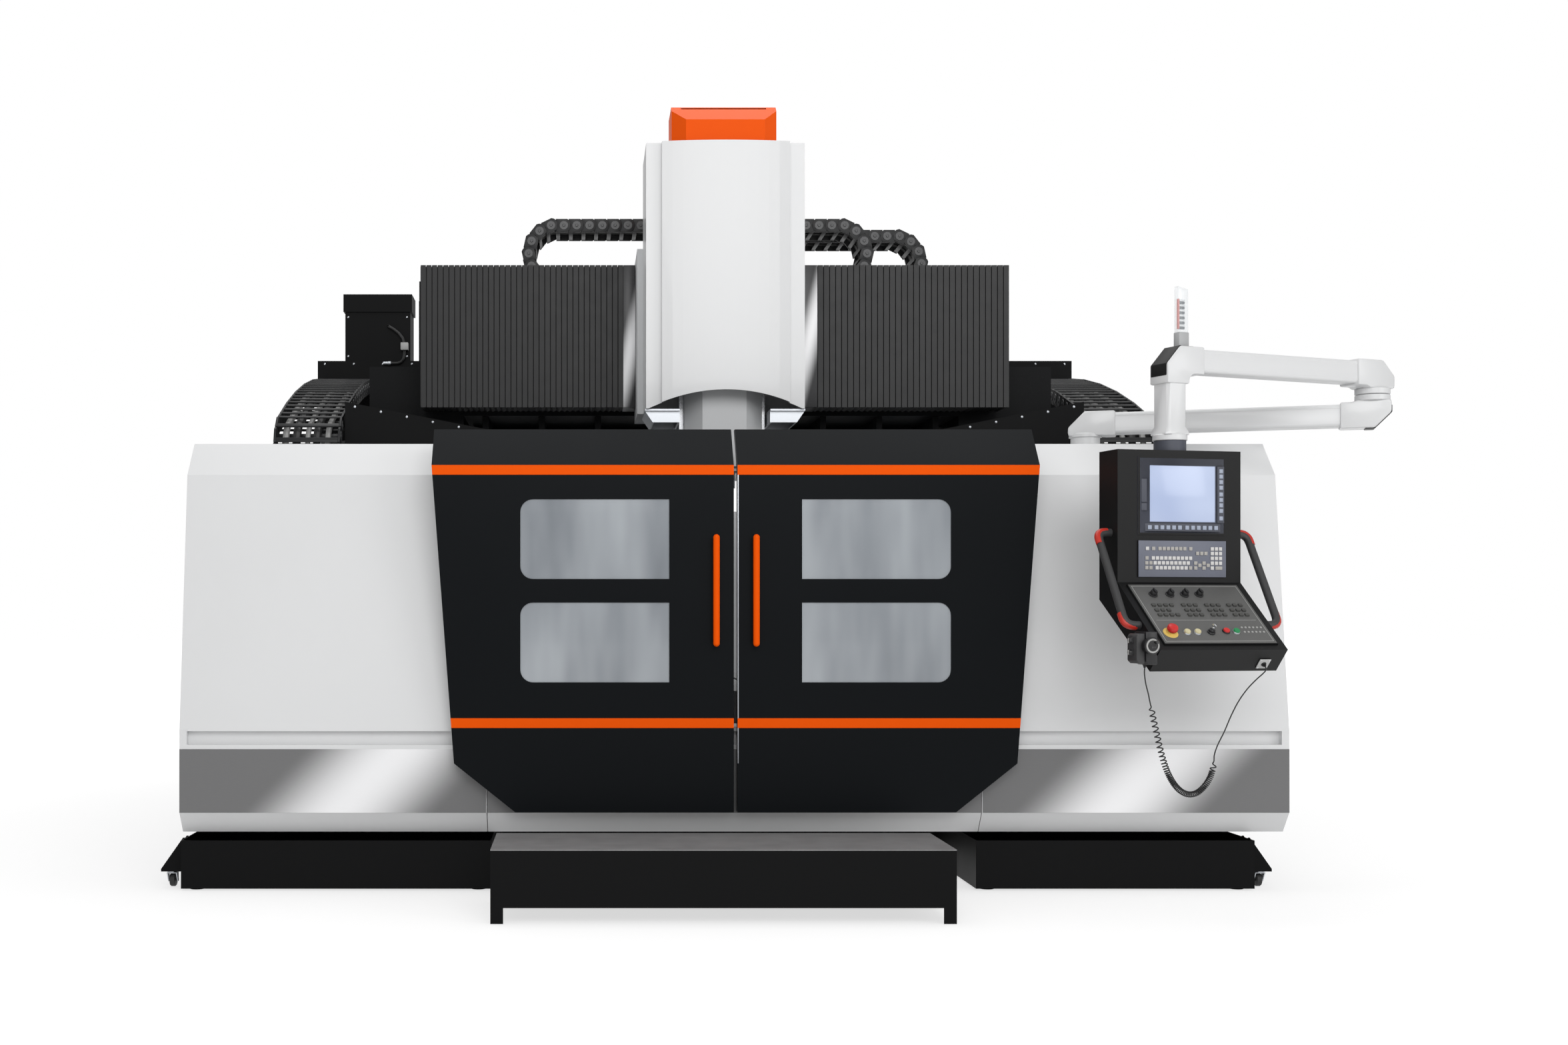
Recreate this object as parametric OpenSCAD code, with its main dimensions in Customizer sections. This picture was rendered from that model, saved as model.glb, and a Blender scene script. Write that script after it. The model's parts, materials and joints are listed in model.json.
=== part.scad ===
// Bridge machining center: a travelling bridge on two side walls, with a saddle and ram over a
// fixed table, behind sheet-metal enclosures with two sliding front doors. Millimetres, Z up.
// Origin: floor level under the middle of the table. The operator stands at -Y.

/* [Travels] */
// Travel of the bridge along the machine
bridge_travel = 2600; // [2000:50:3200]

/* [Bed and table] */
// Width of the table
table_w = 1800; // [1400:20:1900]
// Length of the table
table_l = 2800; // [2400:50:3200]
// Thickness of the table
table_t = 220; // [150:10:280]
// Height of the table's face above the floor
table_z = 850; // [780:10:900]
// Number of T-slots in the table
slot_count = 9; // [5:2:11]
// Width of a T-slot at the table's face
slot_w = 22; // [14:2:28]
// Height of the levelling pads
pad_h = 50; // [30:5:80]
// Radius of a levelling pad
pad_r = 75; // [50:5:100]
// Thickness of the side walls
wall_t = 500; // [400:20:560]
// Clear width between the side walls
wall_gap = 2500; // [2400:20:2560]
// Height of the side walls' top above the floor
wall_top = 1950; // [1800:10:1960]
// Width of a guide rail
rail_w = 55; // [35:5:65]
// Height of a guide rail
rail_h = 70; // [40:5:80]

/* [Enclosure] */
// Width over the enclosures
body_w = 4840; // [4700:20:5000]
// Width of the opening that the doors close
opening_w = 2160; // [2000:20:2200]
// Height of the skirt's lower edge
skirt_z = 253; // [240:1:260]
// Height of the steel band's lower edge
band_z0 = 344; // [320:1:360]
// Height of the steel band's upper edge
band_z1 = 621; // [600:1:625]
// Height of the door groove's upper edge
groove_z1 = 700; // [690:1:720]
// Depth of the door groove
groove_d = 34; // [24:1:40]
// Height where the front face turns back
bevel_z = 1830; // [1780:10:1850]
// Height of the enclosures' top
enclosure_top = 1982; // [1970:1:2000]
// Lean of the front face from the groove to the bevel
front_lean = 165; // [100:5:180]
// Thickness of the sheet metal
sheet_t = 5; // [3:0.5:8]

/* [Doors] */
// Depth of a door, front to back
door_t = 50; // [40:2:54]
// Half width of the pair of doors under the bevel
door_half_top = 1315; // [1290:5:1330]
// Half width of the pair of doors at the lower corner
door_half_low = 1218; // [1180:2:1240]
// Half width of the pair of doors at the lower edge
door_half_base = 953; // [900:5:1000]
// Gap between the two doors
door_gap = 16; // [10:2:24]
// Height of a door's lower edge
door_z0 = 353; // [346:1:365]
// Height of a door's lower corner
door_corner_z = 564; // [520:2:600]
// Width of a window
window_w = 644; // [500:4:680]
// Height of a window
window_h = 345; // [280:5:350]
// Radius of a window's outer corners
window_r = 55; // [30:5:70]
// Length of a handle
handle_l = 484; // [360:4:560]
// Radius of a handle's bar
handle_r = 14; // [10:1:16]

/* [Bridge and head] */
// Depth of the crossbeam, front to back
beam_d = 600; // [500:20:620]
// Height of the crossbeam
beam_h = 590; // [500:10:600]
// Half length of the bellows covers' frame
bellows_half = 1470; // [1440:5:1500]
// Height of a bellows cover
bellows_h = 710; // [660:5:720]
// Pitch of the bellows' slats
slat_pitch = 28; // [24:1:36]
// Width of the saddle
saddle_w = 790; // [760:5:800]
// Width of the head's wings
wing_w = 734; // [700:2:740]
// Width of the head's front panel
panel_w = 590; // [560:2:600]
// Width of the ram
ram_w = 365; // [330:5:370]
// Thickness of the head's sheet metal
head_t = 6; // [4:1:10]
// Radius of the spindle's nose
nose_r = 64.285; // [60:0.005:70]
// Width of the energy chains beside the walls
side_chain_w = 330; // [250:10:340]
// Height of an energy chain link
link_h = 90; // [70:2:96]
// Pitch of the side chains' links
side_pitch = 80; // [76:1:82]

/* [Control arm] */
// Length of the lower arm between its pivots
lower_arm_l = 1219; // [1150:1:1260]
// Length of the upper arm between its pivots
upper_arm_l = 1113; // [1050:1:1150]
// Width and height of the arm's tube
arm_tube = 98; // [80:2:104]
// Width of the control box
box_w = 562; // [520:2:600]
// Height of the control box
box_h = 545; // [500:5:560]
// Depth of the control box
box_d = 150; // [130:5:170]
// How far the keyboard console reaches forward
console_d = 330; // [280:5:350]

/* [Tanks and step] */
// Height of the coolant tanks
tank_h = 219; // [180:1:235]
// Depth of the coolant tanks
tank_d = 900; // [700:20:1000]
// Radius of a caster wheel
caster_r = 30; // [25:1:32]
// Width of the step platform
step_w = 1820; // [1500:20:1900]
// Depth of the step platform
step_d = 556; // [400:4:560]
// Height of the step platform
step_h = 290; // [250:5:320]

/* [Hidden] */

$fn = 48;
eps = 0.01;
run_gap = 0.3;           // gap that two running faces keep

// Depths, front to back
ram_y = -bridge_travel / 2;
head_front = ram_y - ram_w / 2 - 117.5;
door_face = head_front - 500;
front_y = door_face + door_t + 20;
bellows_front = head_front + 740;
beam_front = bellows_front + 260;
beam_back = beam_front + beam_d;
wall_front = bellows_front - 90;
wall_back = beam_back + bridge_travel + 750;
rear_y = wall_back + 300;
carriage_l = 1600;

// Heights
rail_top = wall_top + rail_h;
carriage_z = rail_top + 10;
carriage_h = 200;
bellows_z = 2245;
beam_z = carriage_z + carriage_h;
head_bottom = 2189;
head_top = 3391;
bed_top = table_z - table_t - 30;

// Sides
wall_in = wall_gap / 2;
wall_out = wall_in + wall_t;
body_in = opening_w / 2;
body_out = body_w / 2;
chain_in = wall_out + 112;
chain_mid = chain_in + side_chain_w / 2;

module place(x = 0, y = 0, z = 0) {
    translate([x, y, z]) children();
}

// A box given by its lowest and highest corners
module span(low, high) {
    translate(low) cube(high - low);
}

// Draws the children at +X, or mirrored at -X
module on_side(side) {
    if (side > 0) children();
    else mirror([1, 0, 0]) children();
}

// A profile of [y, z] points, drawn out along X from x0 to x1
module along_x(points, x0, x1) {
    translate([x0, 0, 0]) rotate([90, 0, 90]) linear_extrude(x1 - x0) polygon(points);
}

// A profile of [x, z] points, drawn out along Y from y0 to y1
module along_y(points, y0, y1) {
    translate([0, y1, 0]) rotate([90, 0, 0]) linear_extrude(y1 - y0) polygon(points);
}

// A profile of [x, y] points, drawn up from z0 to z1
module along_z(points, z0, z1) {
    translate([0, 0, z0]) linear_extrude(z1 - z0) polygon(points);
}

// Points of an arc about a centre, from angle a0 to a1, in n steps
function arc(c, r, a0, a1, n) = [for (i = [0 : n]) c + r * [cos(a0 + (a1 - a0) * i / n),
    sin(a0 + (a1 - a0) * i / n)]];

// Bed casting with cored bays along both sides
bed_half_w = wall_out;
bed_front = -table_l / 2 - 200;
flank_front = wall_front - 30;
bed_rib_t = 60;
bed_bays = 6;
module bed() {
    bay_l = (wall_back - flank_front) / bed_bays;
    color("#26282a") difference() {
        union() {
            span([-table_w / 2 + 100, bed_front, pad_h], [table_w / 2 - 100, table_l / 2 + 100, bed_top]);
            span([-bed_half_w, flank_front, pad_h], [bed_half_w, wall_back, pad_h + 380]);
        }
        for (side = [-1, 1], i = [0 : bed_bays - 1])
            span([side * bed_half_w - 140, flank_front + i * bay_l + bed_rib_t, pad_h + 80],
                [side * bed_half_w + 140, flank_front + (i + 1) * bay_l - bed_rib_t, pad_h + 300]);
    }
}

// Levelling pads: a turned foot, a threaded stem and a nut under the bed's flange
pad_rows = 6;
pad_columns = [-1, 0, 1];
module levelling_pads() {
    reach = bed_half_w - 150;
    step_y = (wall_back - bed_front - 300) / (pad_rows - 1);
    near = round((0 - bed_front - 150) / step_y);
    color("#5a5c5e") for (c = pad_columns, r = [(c == 0 ? 0 : 1) : pad_rows - 1])
        place(c * reach, r == near ? 0 : bed_front + 150 + r * step_y) {
            cylinder(h = pad_h * 0.4, r = pad_r);
            place(0, 0, pad_h * 0.4) cylinder(h = pad_h * 0.2, r1 = pad_r, r2 = pad_r * 0.6);
            place(0, 0, pad_h * 0.6) cylinder(h = pad_h * 0.4, r = pad_r * 0.6);
        }
}

// Side wall casting with cored windows on its outer face
wall_foot = pad_h + 380;
wall_bays = 5;
module side_wall(side) {
    bay_l = (wall_back - wall_front) / wall_bays;
    color("#e2e3e4") on_side(side) difference() {
        span([wall_in, wall_front, wall_foot], [wall_out, wall_back, wall_top]);
        for (i = [0 : wall_bays - 1])
            span([wall_out - 180, wall_front + i * bay_l + 90, wall_foot + 150],
                [wall_out + 1, wall_front + (i + 1) * bay_l - 90, wall_top - 420]);
    }
}

// Linear rails along the wall tops, each with its bolt counterbores left plain
rail_x = [wall_in + 110, wall_out - 110];
rail_profile = [[-0.5, 0], [0.5, 0], [0.5, 0.38], [0.36, 0.52], [0.36, 0.66], [0.5, 0.8], [0.5, 1],
    [-0.5, 1],
    [-0.5, 0.8], [-0.36, 0.66], [-0.36, 0.52], [-0.5, 0.38]];
module rail_bar(l) {
    rotate([90, 0, 0]) translate([0, 0, -l]) linear_extrude(l)
        polygon([for (p = rail_profile) [p[0] * rail_w, p[1] * rail_h]]);
}
module guide_rails() {
    color("#b9bcc0") for (side = [-1, 1], x = rail_x)
        place(side * x, wall_front + 50, wall_top) rail_bar(wall_back - wall_front - 100);
}

// Table with T-slots that run along the machine
slot_head_w = slot_w * 1.7;
slot_head_h = slot_w * 0.75;
slot_depth = slot_w * 1.9;
module work_table() {
    pitch = table_w / slot_count;
    color("#8d9194") difference() {
        span([-table_w / 2, -table_l / 2, bed_top], [table_w / 2, table_l / 2, table_z]);
        for (i = [0 : slot_count - 1]) {
            x = -table_w / 2 + pitch * (i + 0.5);
            span([x - slot_w / 2, -table_l / 2 - 1, table_z - slot_depth],
                [x + slot_w / 2, table_l / 2 + 1, table_z + 1]);
            span([x - slot_head_w / 2, -table_l / 2 - 1, table_z - slot_depth],
                [x + slot_head_w / 2, table_l / 2 + 1, table_z - slot_depth + slot_head_h]);
        }
        for (side = [-1, 1])
            span([side * table_w / 2 - 60, -table_l / 2 - 1, table_z - 110],
                [side * table_w / 2 + 60, table_l / 2 + 1, table_z - 70]);
    }
}

// Front profile of an enclosure, inset by t: skirt, band, door groove, leaning face and bevel
bevel_d = enclosure_top - bevel_z;
function front_profile(t) = [
    [front_y + 75 + t, skirt_z - (t > 0 ? 1 : 0)],
    [front_y + t, band_z0 + t * 0.4],
    [front_y + t, band_z1 + 19 - t],
    [front_y + groove_d + t, band_z1 + 19 - t],
    [front_y + groove_d + t, groove_z1 + t],
    [front_y + t, groove_z1 + t],
    [front_y + front_lean + t, bevel_z - t * 0.4],
    [front_y + front_lean + bevel_d + t * 0.4, enclosure_top - t]
];
side_rib_y = [wall_front + 60, wall_front + 1500, wall_front + 3000, wall_back - 60];
groove_stop = 32;
module enclosure(side) {
    back = wall_front - 60;
    color("#e4e5e6") on_side(side) union() {
        difference() {
            along_x(concat(front_profile(0), [[back, enclosure_top], [back, skirt_z]]), body_in, body_out);
            along_x(concat(front_profile(sheet_t), [[back + 1, enclosure_top - sheet_t],
                [back + 1, skirt_z - 1]]),
                body_in + sheet_t, body_out - sheet_t);
        }
        // the groove is closed near the outer edge
        span([body_out - groove_stop, front_y, band_z1 + 19 - sheet_t],
            [body_out, front_y + groove_d + sheet_t, groove_z1 + sheet_t]);
        // outer side sheet with folded edges
        span([body_out - sheet_t, back - 1, skirt_z], [body_out, rear_y, enclosure_top]);
        span([body_out - 60, back - 1, enclosure_top - sheet_t], [body_out, rear_y, enclosure_top]);
        span([body_out - 60, back - 1, skirt_z], [body_out, rear_y, skirt_z + sheet_t]);
        // service panels that stand proud of the side sheet
        for (i = [0 : 3]) {
            y0 = back + 40 + i * (rear_y - back - 40) / 4;
            span([body_out, y0, groove_z1], [body_out + 12, y0 + (rear_y - back - 40) / 4 - 40, bevel_z]);
        }
        // brackets to the wall casting carry the sheet and the cable trough
        for (y = side_rib_y)
            span([wall_out, y - 6, trough_z - 200], [body_out - sheet_t + eps, y + 6, trough_z]);
    }
}

// Panel under the doors, between the enclosures
seam = 3;
module sill_panel() {
    back = front_y + 230;
    inner = [[back - sheet_t, groove_z1 + 10], [back - sheet_t, skirt_z - 1]];
    outer_top = [for (i = [0 : 5]) front_profile(0)[i]];
    inner_top = [for (i = [0 : 5]) front_profile(sheet_t)[i]];
    color("#e4e5e6") union() {
        difference() {
            along_x(concat(outer_top, [[front_y, groove_z1 + 20], [back, groove_z1 + 20], [back, skirt_z]]),
                -body_in + seam, body_in - seam);
            along_x(concat(inner_top, inner), -body_in + seam + sheet_t, body_in - seam - sheet_t);
        }
        for (x = [-1, 0, 1])
            span([x * (table_w / 2 - 160) - 6, back - eps, skirt_z + 60],
                [x * (table_w / 2 - 160) + 6, bed_front, skirt_z + 170]);
    }
}

// Polished steel band around the foot of the front
band_t = 2;
module steel_bands() {
    color("#9a9c9e") {
        for (side = [-1, 1]) on_side(side)
            span([body_in + seam, front_y - band_t, band_z0], [body_out, front_y, band_z1]);
        span([-body_in + seam, front_y - band_t, band_z0], [body_in - seam, front_y, band_z1]);
    }
}

// Rear wall of the enclosure, three bays wide
module rear_panel() {
    bay = (body_w - 2 * sheet_t) / 3;
    color("#dcdedf") {
        span([-body_out + sheet_t, rear_y - 40, skirt_z + sheet_t],
            [body_out - sheet_t, rear_y - 40 + sheet_t, enclosure_top - sheet_t]);
        for (i = [0 : 2]) {
            x0 = -body_out + sheet_t + i * bay;
            span([x0 + 40, rear_y - 40 + sheet_t - eps, skirt_z + 80],
                [x0 + bay - 40, rear_y - 23, enclosure_top - 80]);
        }
        for (x = [-1, 1])
            span([x * 1200 - 40, wall_back, skirt_z + 100], [x * 1200 + 40, rear_y - 40 + eps,
                skirt_z + 180]);
    }
}

// Light inner sheets on both sides of the work area
module splash_guards() {
    color("#d5d8da") for (side = [-1, 1]) on_side(side) {
        span([body_in + sheet_t + 60, wall_front - 2, table_z - 120],
            [wall_in, wall_front + 2, enclosure_top - 60]);
        span([wall_in - 4, wall_front + 2, table_z - 120], [wall_in, wall_back - 100, wall_top]);
    }
}

// Open troughs that the side chains run in
trough_w = side_chain_w + 40;
module cable_troughs() {
    color("#1d1e20") for (side = [-1, 1]) on_side(side) difference() {
        span([chain_mid - trough_w / 2, wall_front + 30, trough_z],
            [chain_mid + trough_w / 2, wall_back + 60, trough_z + 110]);
        span([chain_mid - trough_w / 2 + 4, wall_front + 34, trough_z + 4],
            [chain_mid + trough_w / 2 - 4, wall_back + 56, trough_z + 111]);
    }
}

// Coolant tank: open sheet box with a rolled rim, two feet and a gusset for the caster
tank_front = front_y + 30;
tank_in = 1060;
tank_outs = [2420, 2280];
tank_foot = 8;
bracket_h = 150;
bracket_l = 105;
caster_y = tank_front + 120;
function caster_x(side) = tank_outs[side < 0 ? 0 : 1] + 62;
module coolant_tank(side) {
    out = tank_outs[side < 0 ? 0 : 1];
    plate_z = 2 * caster_r + 12;
    color("#121314") on_side(side) union() {
        difference() {
            span([tank_in, tank_front, tank_foot], [out, tank_front + tank_d, tank_h]);
            span([tank_in + 4, tank_front + 4, tank_foot + 4],
                [out - 4, tank_front + tank_d - 4, tank_h + 1]);
        }
        for (x = [tank_in + 60, out - 60], y = [tank_front + 60, tank_front + tank_d - 60])
            place(x, y) cylinder(h = tank_foot + 1, r = 30);
        for (dy = [-40, 36])
            along_y([[out - eps, plate_z], [out + bracket_l, plate_z], [out + bracket_l, plate_z + 12],
                [out + 8, plate_z + bracket_h], [out - eps, plate_z + bracket_h]], caster_y + dy,
                    caster_y + dy + 4);
        span([out - eps, caster_y - 40, plate_z], [out + bracket_l, caster_y + 40, plate_z + 6]);
    }
}

// Caster: a swivelling fork with its stem, and a wheel on an axle
fork_w = 44;
wheel_w = 26;
caster_trail = 18;
axle_r = 4;
module caster_fork(side) {
    top = 2 * caster_r + 12 - run_gap;
    color("#8b8e92") place(side * caster_x(side), caster_y) difference() {
        union() {
            place(0, 0, top - 4) cylinder(h = 4, r = 26);
            place(0, 0, top - 8) cylinder(h = 4, r = 18);
            for (s = [-1, 1]) place(s * (fork_w / 2 - 2), 0, 0) rotate([90, 0, 90])
                translate([0, 0, -2]) linear_extrude(4)
                    polygon([[-20, top - 7], [22, top - 7], [caster_trail + 9, caster_r - 8],
                        [caster_trail - 9, caster_r - 8]]);
            span([-fork_w / 2, -20, top - 10], [fork_w / 2, 22, top - 7]);
        }
        place(0, caster_trail, caster_r) rotate([0, 90, 0]) cylinder(h = 2 * fork_w, r = axle_r + 0.08,
            center = true);
    }
}
module caster_wheel(side) {
    color("#1b1c1d") place(side * caster_x(side), caster_y + caster_trail, caster_r) rotate([0, 90, 0])
        rotate_extrude()
        polygon([[0, -fork_w / 2 - 1], [axle_r, -fork_w / 2 - 1], [axle_r, -wheel_w / 2 - 3],
            [8, -wheel_w / 2 - 3], [8, -wheel_w / 2], [caster_r - 4, -wheel_w / 2],
            [caster_r, -wheel_w / 2 + 5],
            [caster_r, wheel_w / 2 - 5], [caster_r - 4, wheel_w / 2], [8, wheel_w / 2],
                [8, wheel_w / 2 + 3],
            [axle_r, wheel_w / 2 + 3], [axle_r, fork_w / 2 + 1], [0, fork_w / 2 + 1]]);
}

// Step platform in front of the doors: folded frame on four legs, and a checker-plate tread
step_front = door_face - 783;
step_x = -113;
step_leg = 50;
step_panel_z = 62;
step_tread_t = 4;
module step_frame() {
    color("#0e0f10") place(step_x) difference() {
        span([-step_w / 2, step_front, 0], [step_w / 2, step_front + step_d, step_h - step_tread_t]);
        span([-step_w / 2 + 4, step_front + 4, -1], [step_w / 2 - 4, step_front + step_d - 4,
            step_h - step_tread_t - 30]);
        span([-step_w / 2 + 40, step_front + 40, -1], [step_w / 2 - 40, step_front + step_d - 40, step_h]);
        span([-step_w / 2 + step_leg, step_front - 1, -1], [step_w / 2 - step_leg, step_front + step_d + 1,
            step_panel_z]);
        span([-step_w / 2 - 1, step_front + step_leg, -1], [step_w / 2 + 1, step_front + step_d - step_leg,
            step_panel_z]);
    }
}
module step_tread() {
    color("#77797b") place(step_x)
        span([-step_w / 2, step_front, step_h - step_tread_t], [step_w / 2, step_front + step_d, step_h]);
}

// Crossbeam: box casting with ribs below, two rails in front and a cable trough on top
beam_half = bellows_half + 30;
beam_top = beam_z + beam_h;
module crossbeam() {
    color("#17181a") difference() {
        union() {
            span([-beam_half, beam_front, beam_z], [beam_half, beam_back, beam_top]);
            span([-carriage_in + 20, beam_back - 20, beam_z - 90],
                [carriage_in - 20, beam_back, beam_z + 1]);
            for (i = [-4 : 4]) span([i * 290 - 15, beam_front + 40, beam_z - 90],
                [i * 290 + 15, beam_back - 10, beam_z + 1]);
            for (z = [beam_z + 60, beam_top - 120])
                span([-beam_half + 60, beam_front - 40, z], [beam_half - 60, beam_front + 1, z + 50]);
            span([-beam_half, beam_front + 20, beam_top - 1], [beam_half, beam_back, top_floor + 50]);
        }
        span([-beam_half - 1, beam_front + 24, top_floor], [beam_half + 1, beam_back - 4, top_floor + 51]);
        for (i = [-4 : 4]) if (abs(i) < 4)
            span([i * 290 + 60, beam_back - 120, beam_z + 120],
                [i * 290 + 230, beam_back + 1, beam_top - 140]);
    }
}

// Carriage: the beam's foot, with four runner blocks on the wall rails
block_l = 220;
carriage_in = wall_in + 20;
carriage_out = wall_out + 10;
module carriage(side) {
    color("#1b1c1e") on_side(side) union() {
        span([carriage_in, beam_front, carriage_z], [carriage_out, beam_front + carriage_l, beam_z]);
        for (x = rail_x, y = [beam_front + 60, beam_front + carriage_l - block_l - 380])
            difference() {
                span([x - 75, y, wall_top + 18], [x + 75, y + block_l, carriage_z + 1]);
                span([x - rail_w / 2 - 5, y - 1, wall_top], [x + rail_w / 2 + 5, y + block_l + 1,
                    rail_top + 5]);
            }
        // the ends of the beam are bolted to a raised pad
        span([beam_half, beam_front + 60, beam_z - eps], [carriage_out, beam_back - 60, beam_z + 260]);
    }
}

// Sloped front guards on the carriages
guard_out = 1850;
guard_in = 1100;
guard_front = bellows_front + 26;
guard_low = carriage_z;
module front_guards() {
    slope = [[guard_in, guard_low], [guard_out, guard_low], [guard_out, 2276], [guard_in, 2130]];
    color("#141516") for (side = [-1, 1]) on_side(side) union() {
        along_y(slope, guard_front, guard_front + 4);
        span([guard_out - 4, guard_front, guard_low], [guard_out, beam_front, 2276]);
        span([carriage_out - 40, beam_front - 4, guard_low], [guard_out, beam_front, beam_z - 20]);
    }
}

// Drive housings behind the beam, which carry the side chains; the left one has a cabinet on top
drive_y = beam_front + carriage_l - 240;
drive_top = 2700;
side_start_z = drive_top - 148;
module drive_housings() {
    color("#101112") {
        for (side = [-1, 1]) on_side(side) {
            span([carriage_out - 200, drive_y, beam_z], [chain_mid + side_chain_w / 2 + 20, drive_y + 240,
                drive_top]);
            along_x([[drive_y + eps, beam_z], [drive_y + eps, drive_top], [drive_y - 200, beam_z]],
                carriage_out - 200, carriage_out - 192);
            // tongue between the side plates of the chain's first link
            span([chain_mid - side_chain_w / 2 + 12, drive_y - link_h / 2 - 12, side_start_z - 24],
                [chain_mid + side_chain_w / 2 - 12, drive_y + eps, side_start_z + 24]);
        }
        span([-2053, drive_y + 20, drive_top - 1], [-1670, drive_y + 240, 3093]);
        span([-2063, drive_y + 10, 2990], [-1660, drive_y + 240, 3093]);
    }
}

// Bellows cover: slats that overlap like roof tiles, on a thin end frame by the saddle
bellows_d = 216;
end_plate = 60;
slat_step = 7;
module bellows(side) {
    inner = saddle_w / 2 + 1;
    length = bellows_half - inner - end_plate;
    count = floor(length / slat_pitch);
    pitch = length / count;
    back = bellows_front + bellows_d;
    outline = concat(
        [for (i = [0 : count - 1]) each [
            [inner + end_plate + i * pitch, bellows_front + slat_step],
            [inner + end_plate + i * pitch + 4, bellows_front + slat_step],
            [inner + end_plate + i * pitch + 4, bellows_front],
            [inner + end_plate + (i + 1) * pitch, bellows_front]]],
        [[bellows_half, back], [inner, back], [inner, bellows_front + 2],
            [inner + end_plate, bellows_front + 2]]);
    color("#2b2c2e") on_side(side) along_z(outline, bellows_z, bellows_z + bellows_h);
}

// Energy chain. Angles turn the links one after another; link 0 starts at [0, 0] towards -x
// of the path plane, and the path plane is [along, up].
function chain_points(angles, pitch, i = 0, at = [0, 0]) =
    i == len(angles) ? [at] : concat([at], chain_points(angles, pitch, i + 1,
        at + pitch * [-cos(angles[i]), -sin(angles[i])]));
module chain_link(pitch, h, w, rung) {
    // side plates: a rounded ear at the joint and a waist beyond it
    for (s = [-1, 1]) translate([0, s * (w / 2 - 6), 0]) rotate([90, 0, 0]) {
        translate([0, 0, -6]) cylinder(h = 12, r = h / 2, $fn = 24);
        translate([-pitch + 6, -h * 0.44, -4.5]) cube([pitch - 12, h * 0.88, 9]);
    }
    // rungs at the outer and inner edge of the link
    for (s = [-1, 1]) translate([-pitch * 0.62, -w / 2 + 6, s * (h * 0.42 - rung / 2) - rung / 2])
        cube([pitch * 0.3, w - 12, rung]);
}
module energy_chain(angles, pitch, h, w, rung = 8) {
    points = chain_points(angles, pitch);
    for (i = [0 : len(angles) - 1])
        translate([points[i][0], 0, points[i][1]]) rotate([0, -angles[i], 0]) chain_link(pitch, h, w, rung);
}

// Side chains: the run falls forwards, steeper every fourth link, then bends back under itself
side_angles = concat([for (i = [0 : 19]) 8.4 + floor(i / 4) * 3], [for (i = [1 : 6]) 21 + i * 24.2],
    [for (i = [0 : 12]) 180]);
side_end = chain_points(side_angles, side_pitch)[len(side_angles)];
trough_z = side_start_z + side_end[1] - link_h / 2 - 12;
module side_chain(side) {
    color("#161718") on_side(side) place(chain_mid, drive_y - link_h / 2, side_start_z) rotate([0, 0, 90])
        energy_chain(side_angles, side_pitch, link_h, side_chain_w);
}

// Saddle casting, which the bellows meet on both sides
saddle_z0 = 2184;
saddle_z1 = 2986;
saddle_back = beam_front - 46;
saddle_front = ram_y + ram_w / 2 + 8;
module saddle() {
    color("#c9cbcd") difference() {
        span([-saddle_w / 2, saddle_front, saddle_z0], [saddle_w / 2, saddle_back, saddle_z1]);
        span([-saddle_w / 2 + 120, saddle_back - 100, saddle_z0 + 120],
            [saddle_w / 2 - 120, saddle_back + 1, saddle_z1 - 120]);
    }
}

// Head cover: a bulged front panel between two wings, open below for the ram
wing_front = head_front + 60;
panel_bulge = 26;
arch_rise = 55;
function panel_arc(t) = let(r = (pow(panel_w / 2, 2) + pow(panel_bulge, 2)) / (2 * panel_bulge),
    half = asin(panel_w / 2 / r))
    arc([0, head_front + r], r - t, 270 - half, 270 + half, 12);
module head_cover() {
    w = wing_w / 2;
    p = panel_w / 2;
    back = saddle_front;
    outline = concat([[w, back], [-w, back], [-w, wing_front], [-p, wing_front]], panel_arc(0),
        [[p, wing_front], [w, wing_front]]);
    hollow = concat([[w - head_t, back + 1], [-w + head_t, back + 1], [-w + head_t, wing_front + head_t],
        [-p + head_t, wing_front + head_t]],
        panel_arc(head_t), [[p - head_t, wing_front + head_t], [w - head_t, wing_front + head_t]]);
    arch_r = (pow(p, 2) + pow(arch_rise, 2)) / (2 * arch_rise);
    color("#eeefef") difference() {
        along_z(outline, head_bottom - 26, head_top);
        along_z(hollow, head_bottom - 27, head_top - head_t);
        // arched lower edge of the front panel
        translate([0, head_front + 30, head_bottom + arch_rise - arch_r]) rotate([90, 0, 0])
            cylinder(h = 200, r = arch_r, center = true, $fn = 96);
        span([-p, head_front - 60, head_bottom - 30], [p, wing_front - 1, head_bottom]);
        // opening for the motor in the top
        span([-150, ram_y - 120, head_top - 20], [150, ram_y + 120, head_top + 1]);
    }
}

// Skirt below the wings: a sheet funnel with a passage for the ram
skirt_drop = 60;
skirt_gap = 28;
module head_skirt() {
    w = wing_w / 2 + 4;
    hole = ram_w / 2 + skirt_gap;
    z1 = head_bottom - 26 - run_gap;
    color("#c4c6c8") difference() {
        union() {
            span([-w, wing_front + 20, z1 - 8], [w, saddle_front - 1, z1]);
            along_y([[-w, z1 - 8], [-w + 36, z1 - skirt_drop], [w - 36, z1 - skirt_drop], [w, z1 - 8]],
                wing_front + 40, saddle_front - 1);
        }
        span([-hole, wing_front - 1, z1 - skirt_drop - 1], [hole, ram_y + ram_w / 2 + 6, z1 + 1]);
        along_y([[-w + 12, z1 - 9 - 4], [-w + 42, z1 - skirt_drop - 1], [-hole - 8, z1 - skirt_drop - 1],
            [-hole - 8, z1 - 13]],
            wing_front + 48, saddle_front - 9);
        along_y([[w - 12, z1 - 13], [w - 42, z1 - skirt_drop - 1], [hole + 8, z1 - skirt_drop - 1],
            [hole + 8, z1 - 13]],
            wing_front + 48, saddle_front - 9);
    }
}

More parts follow.
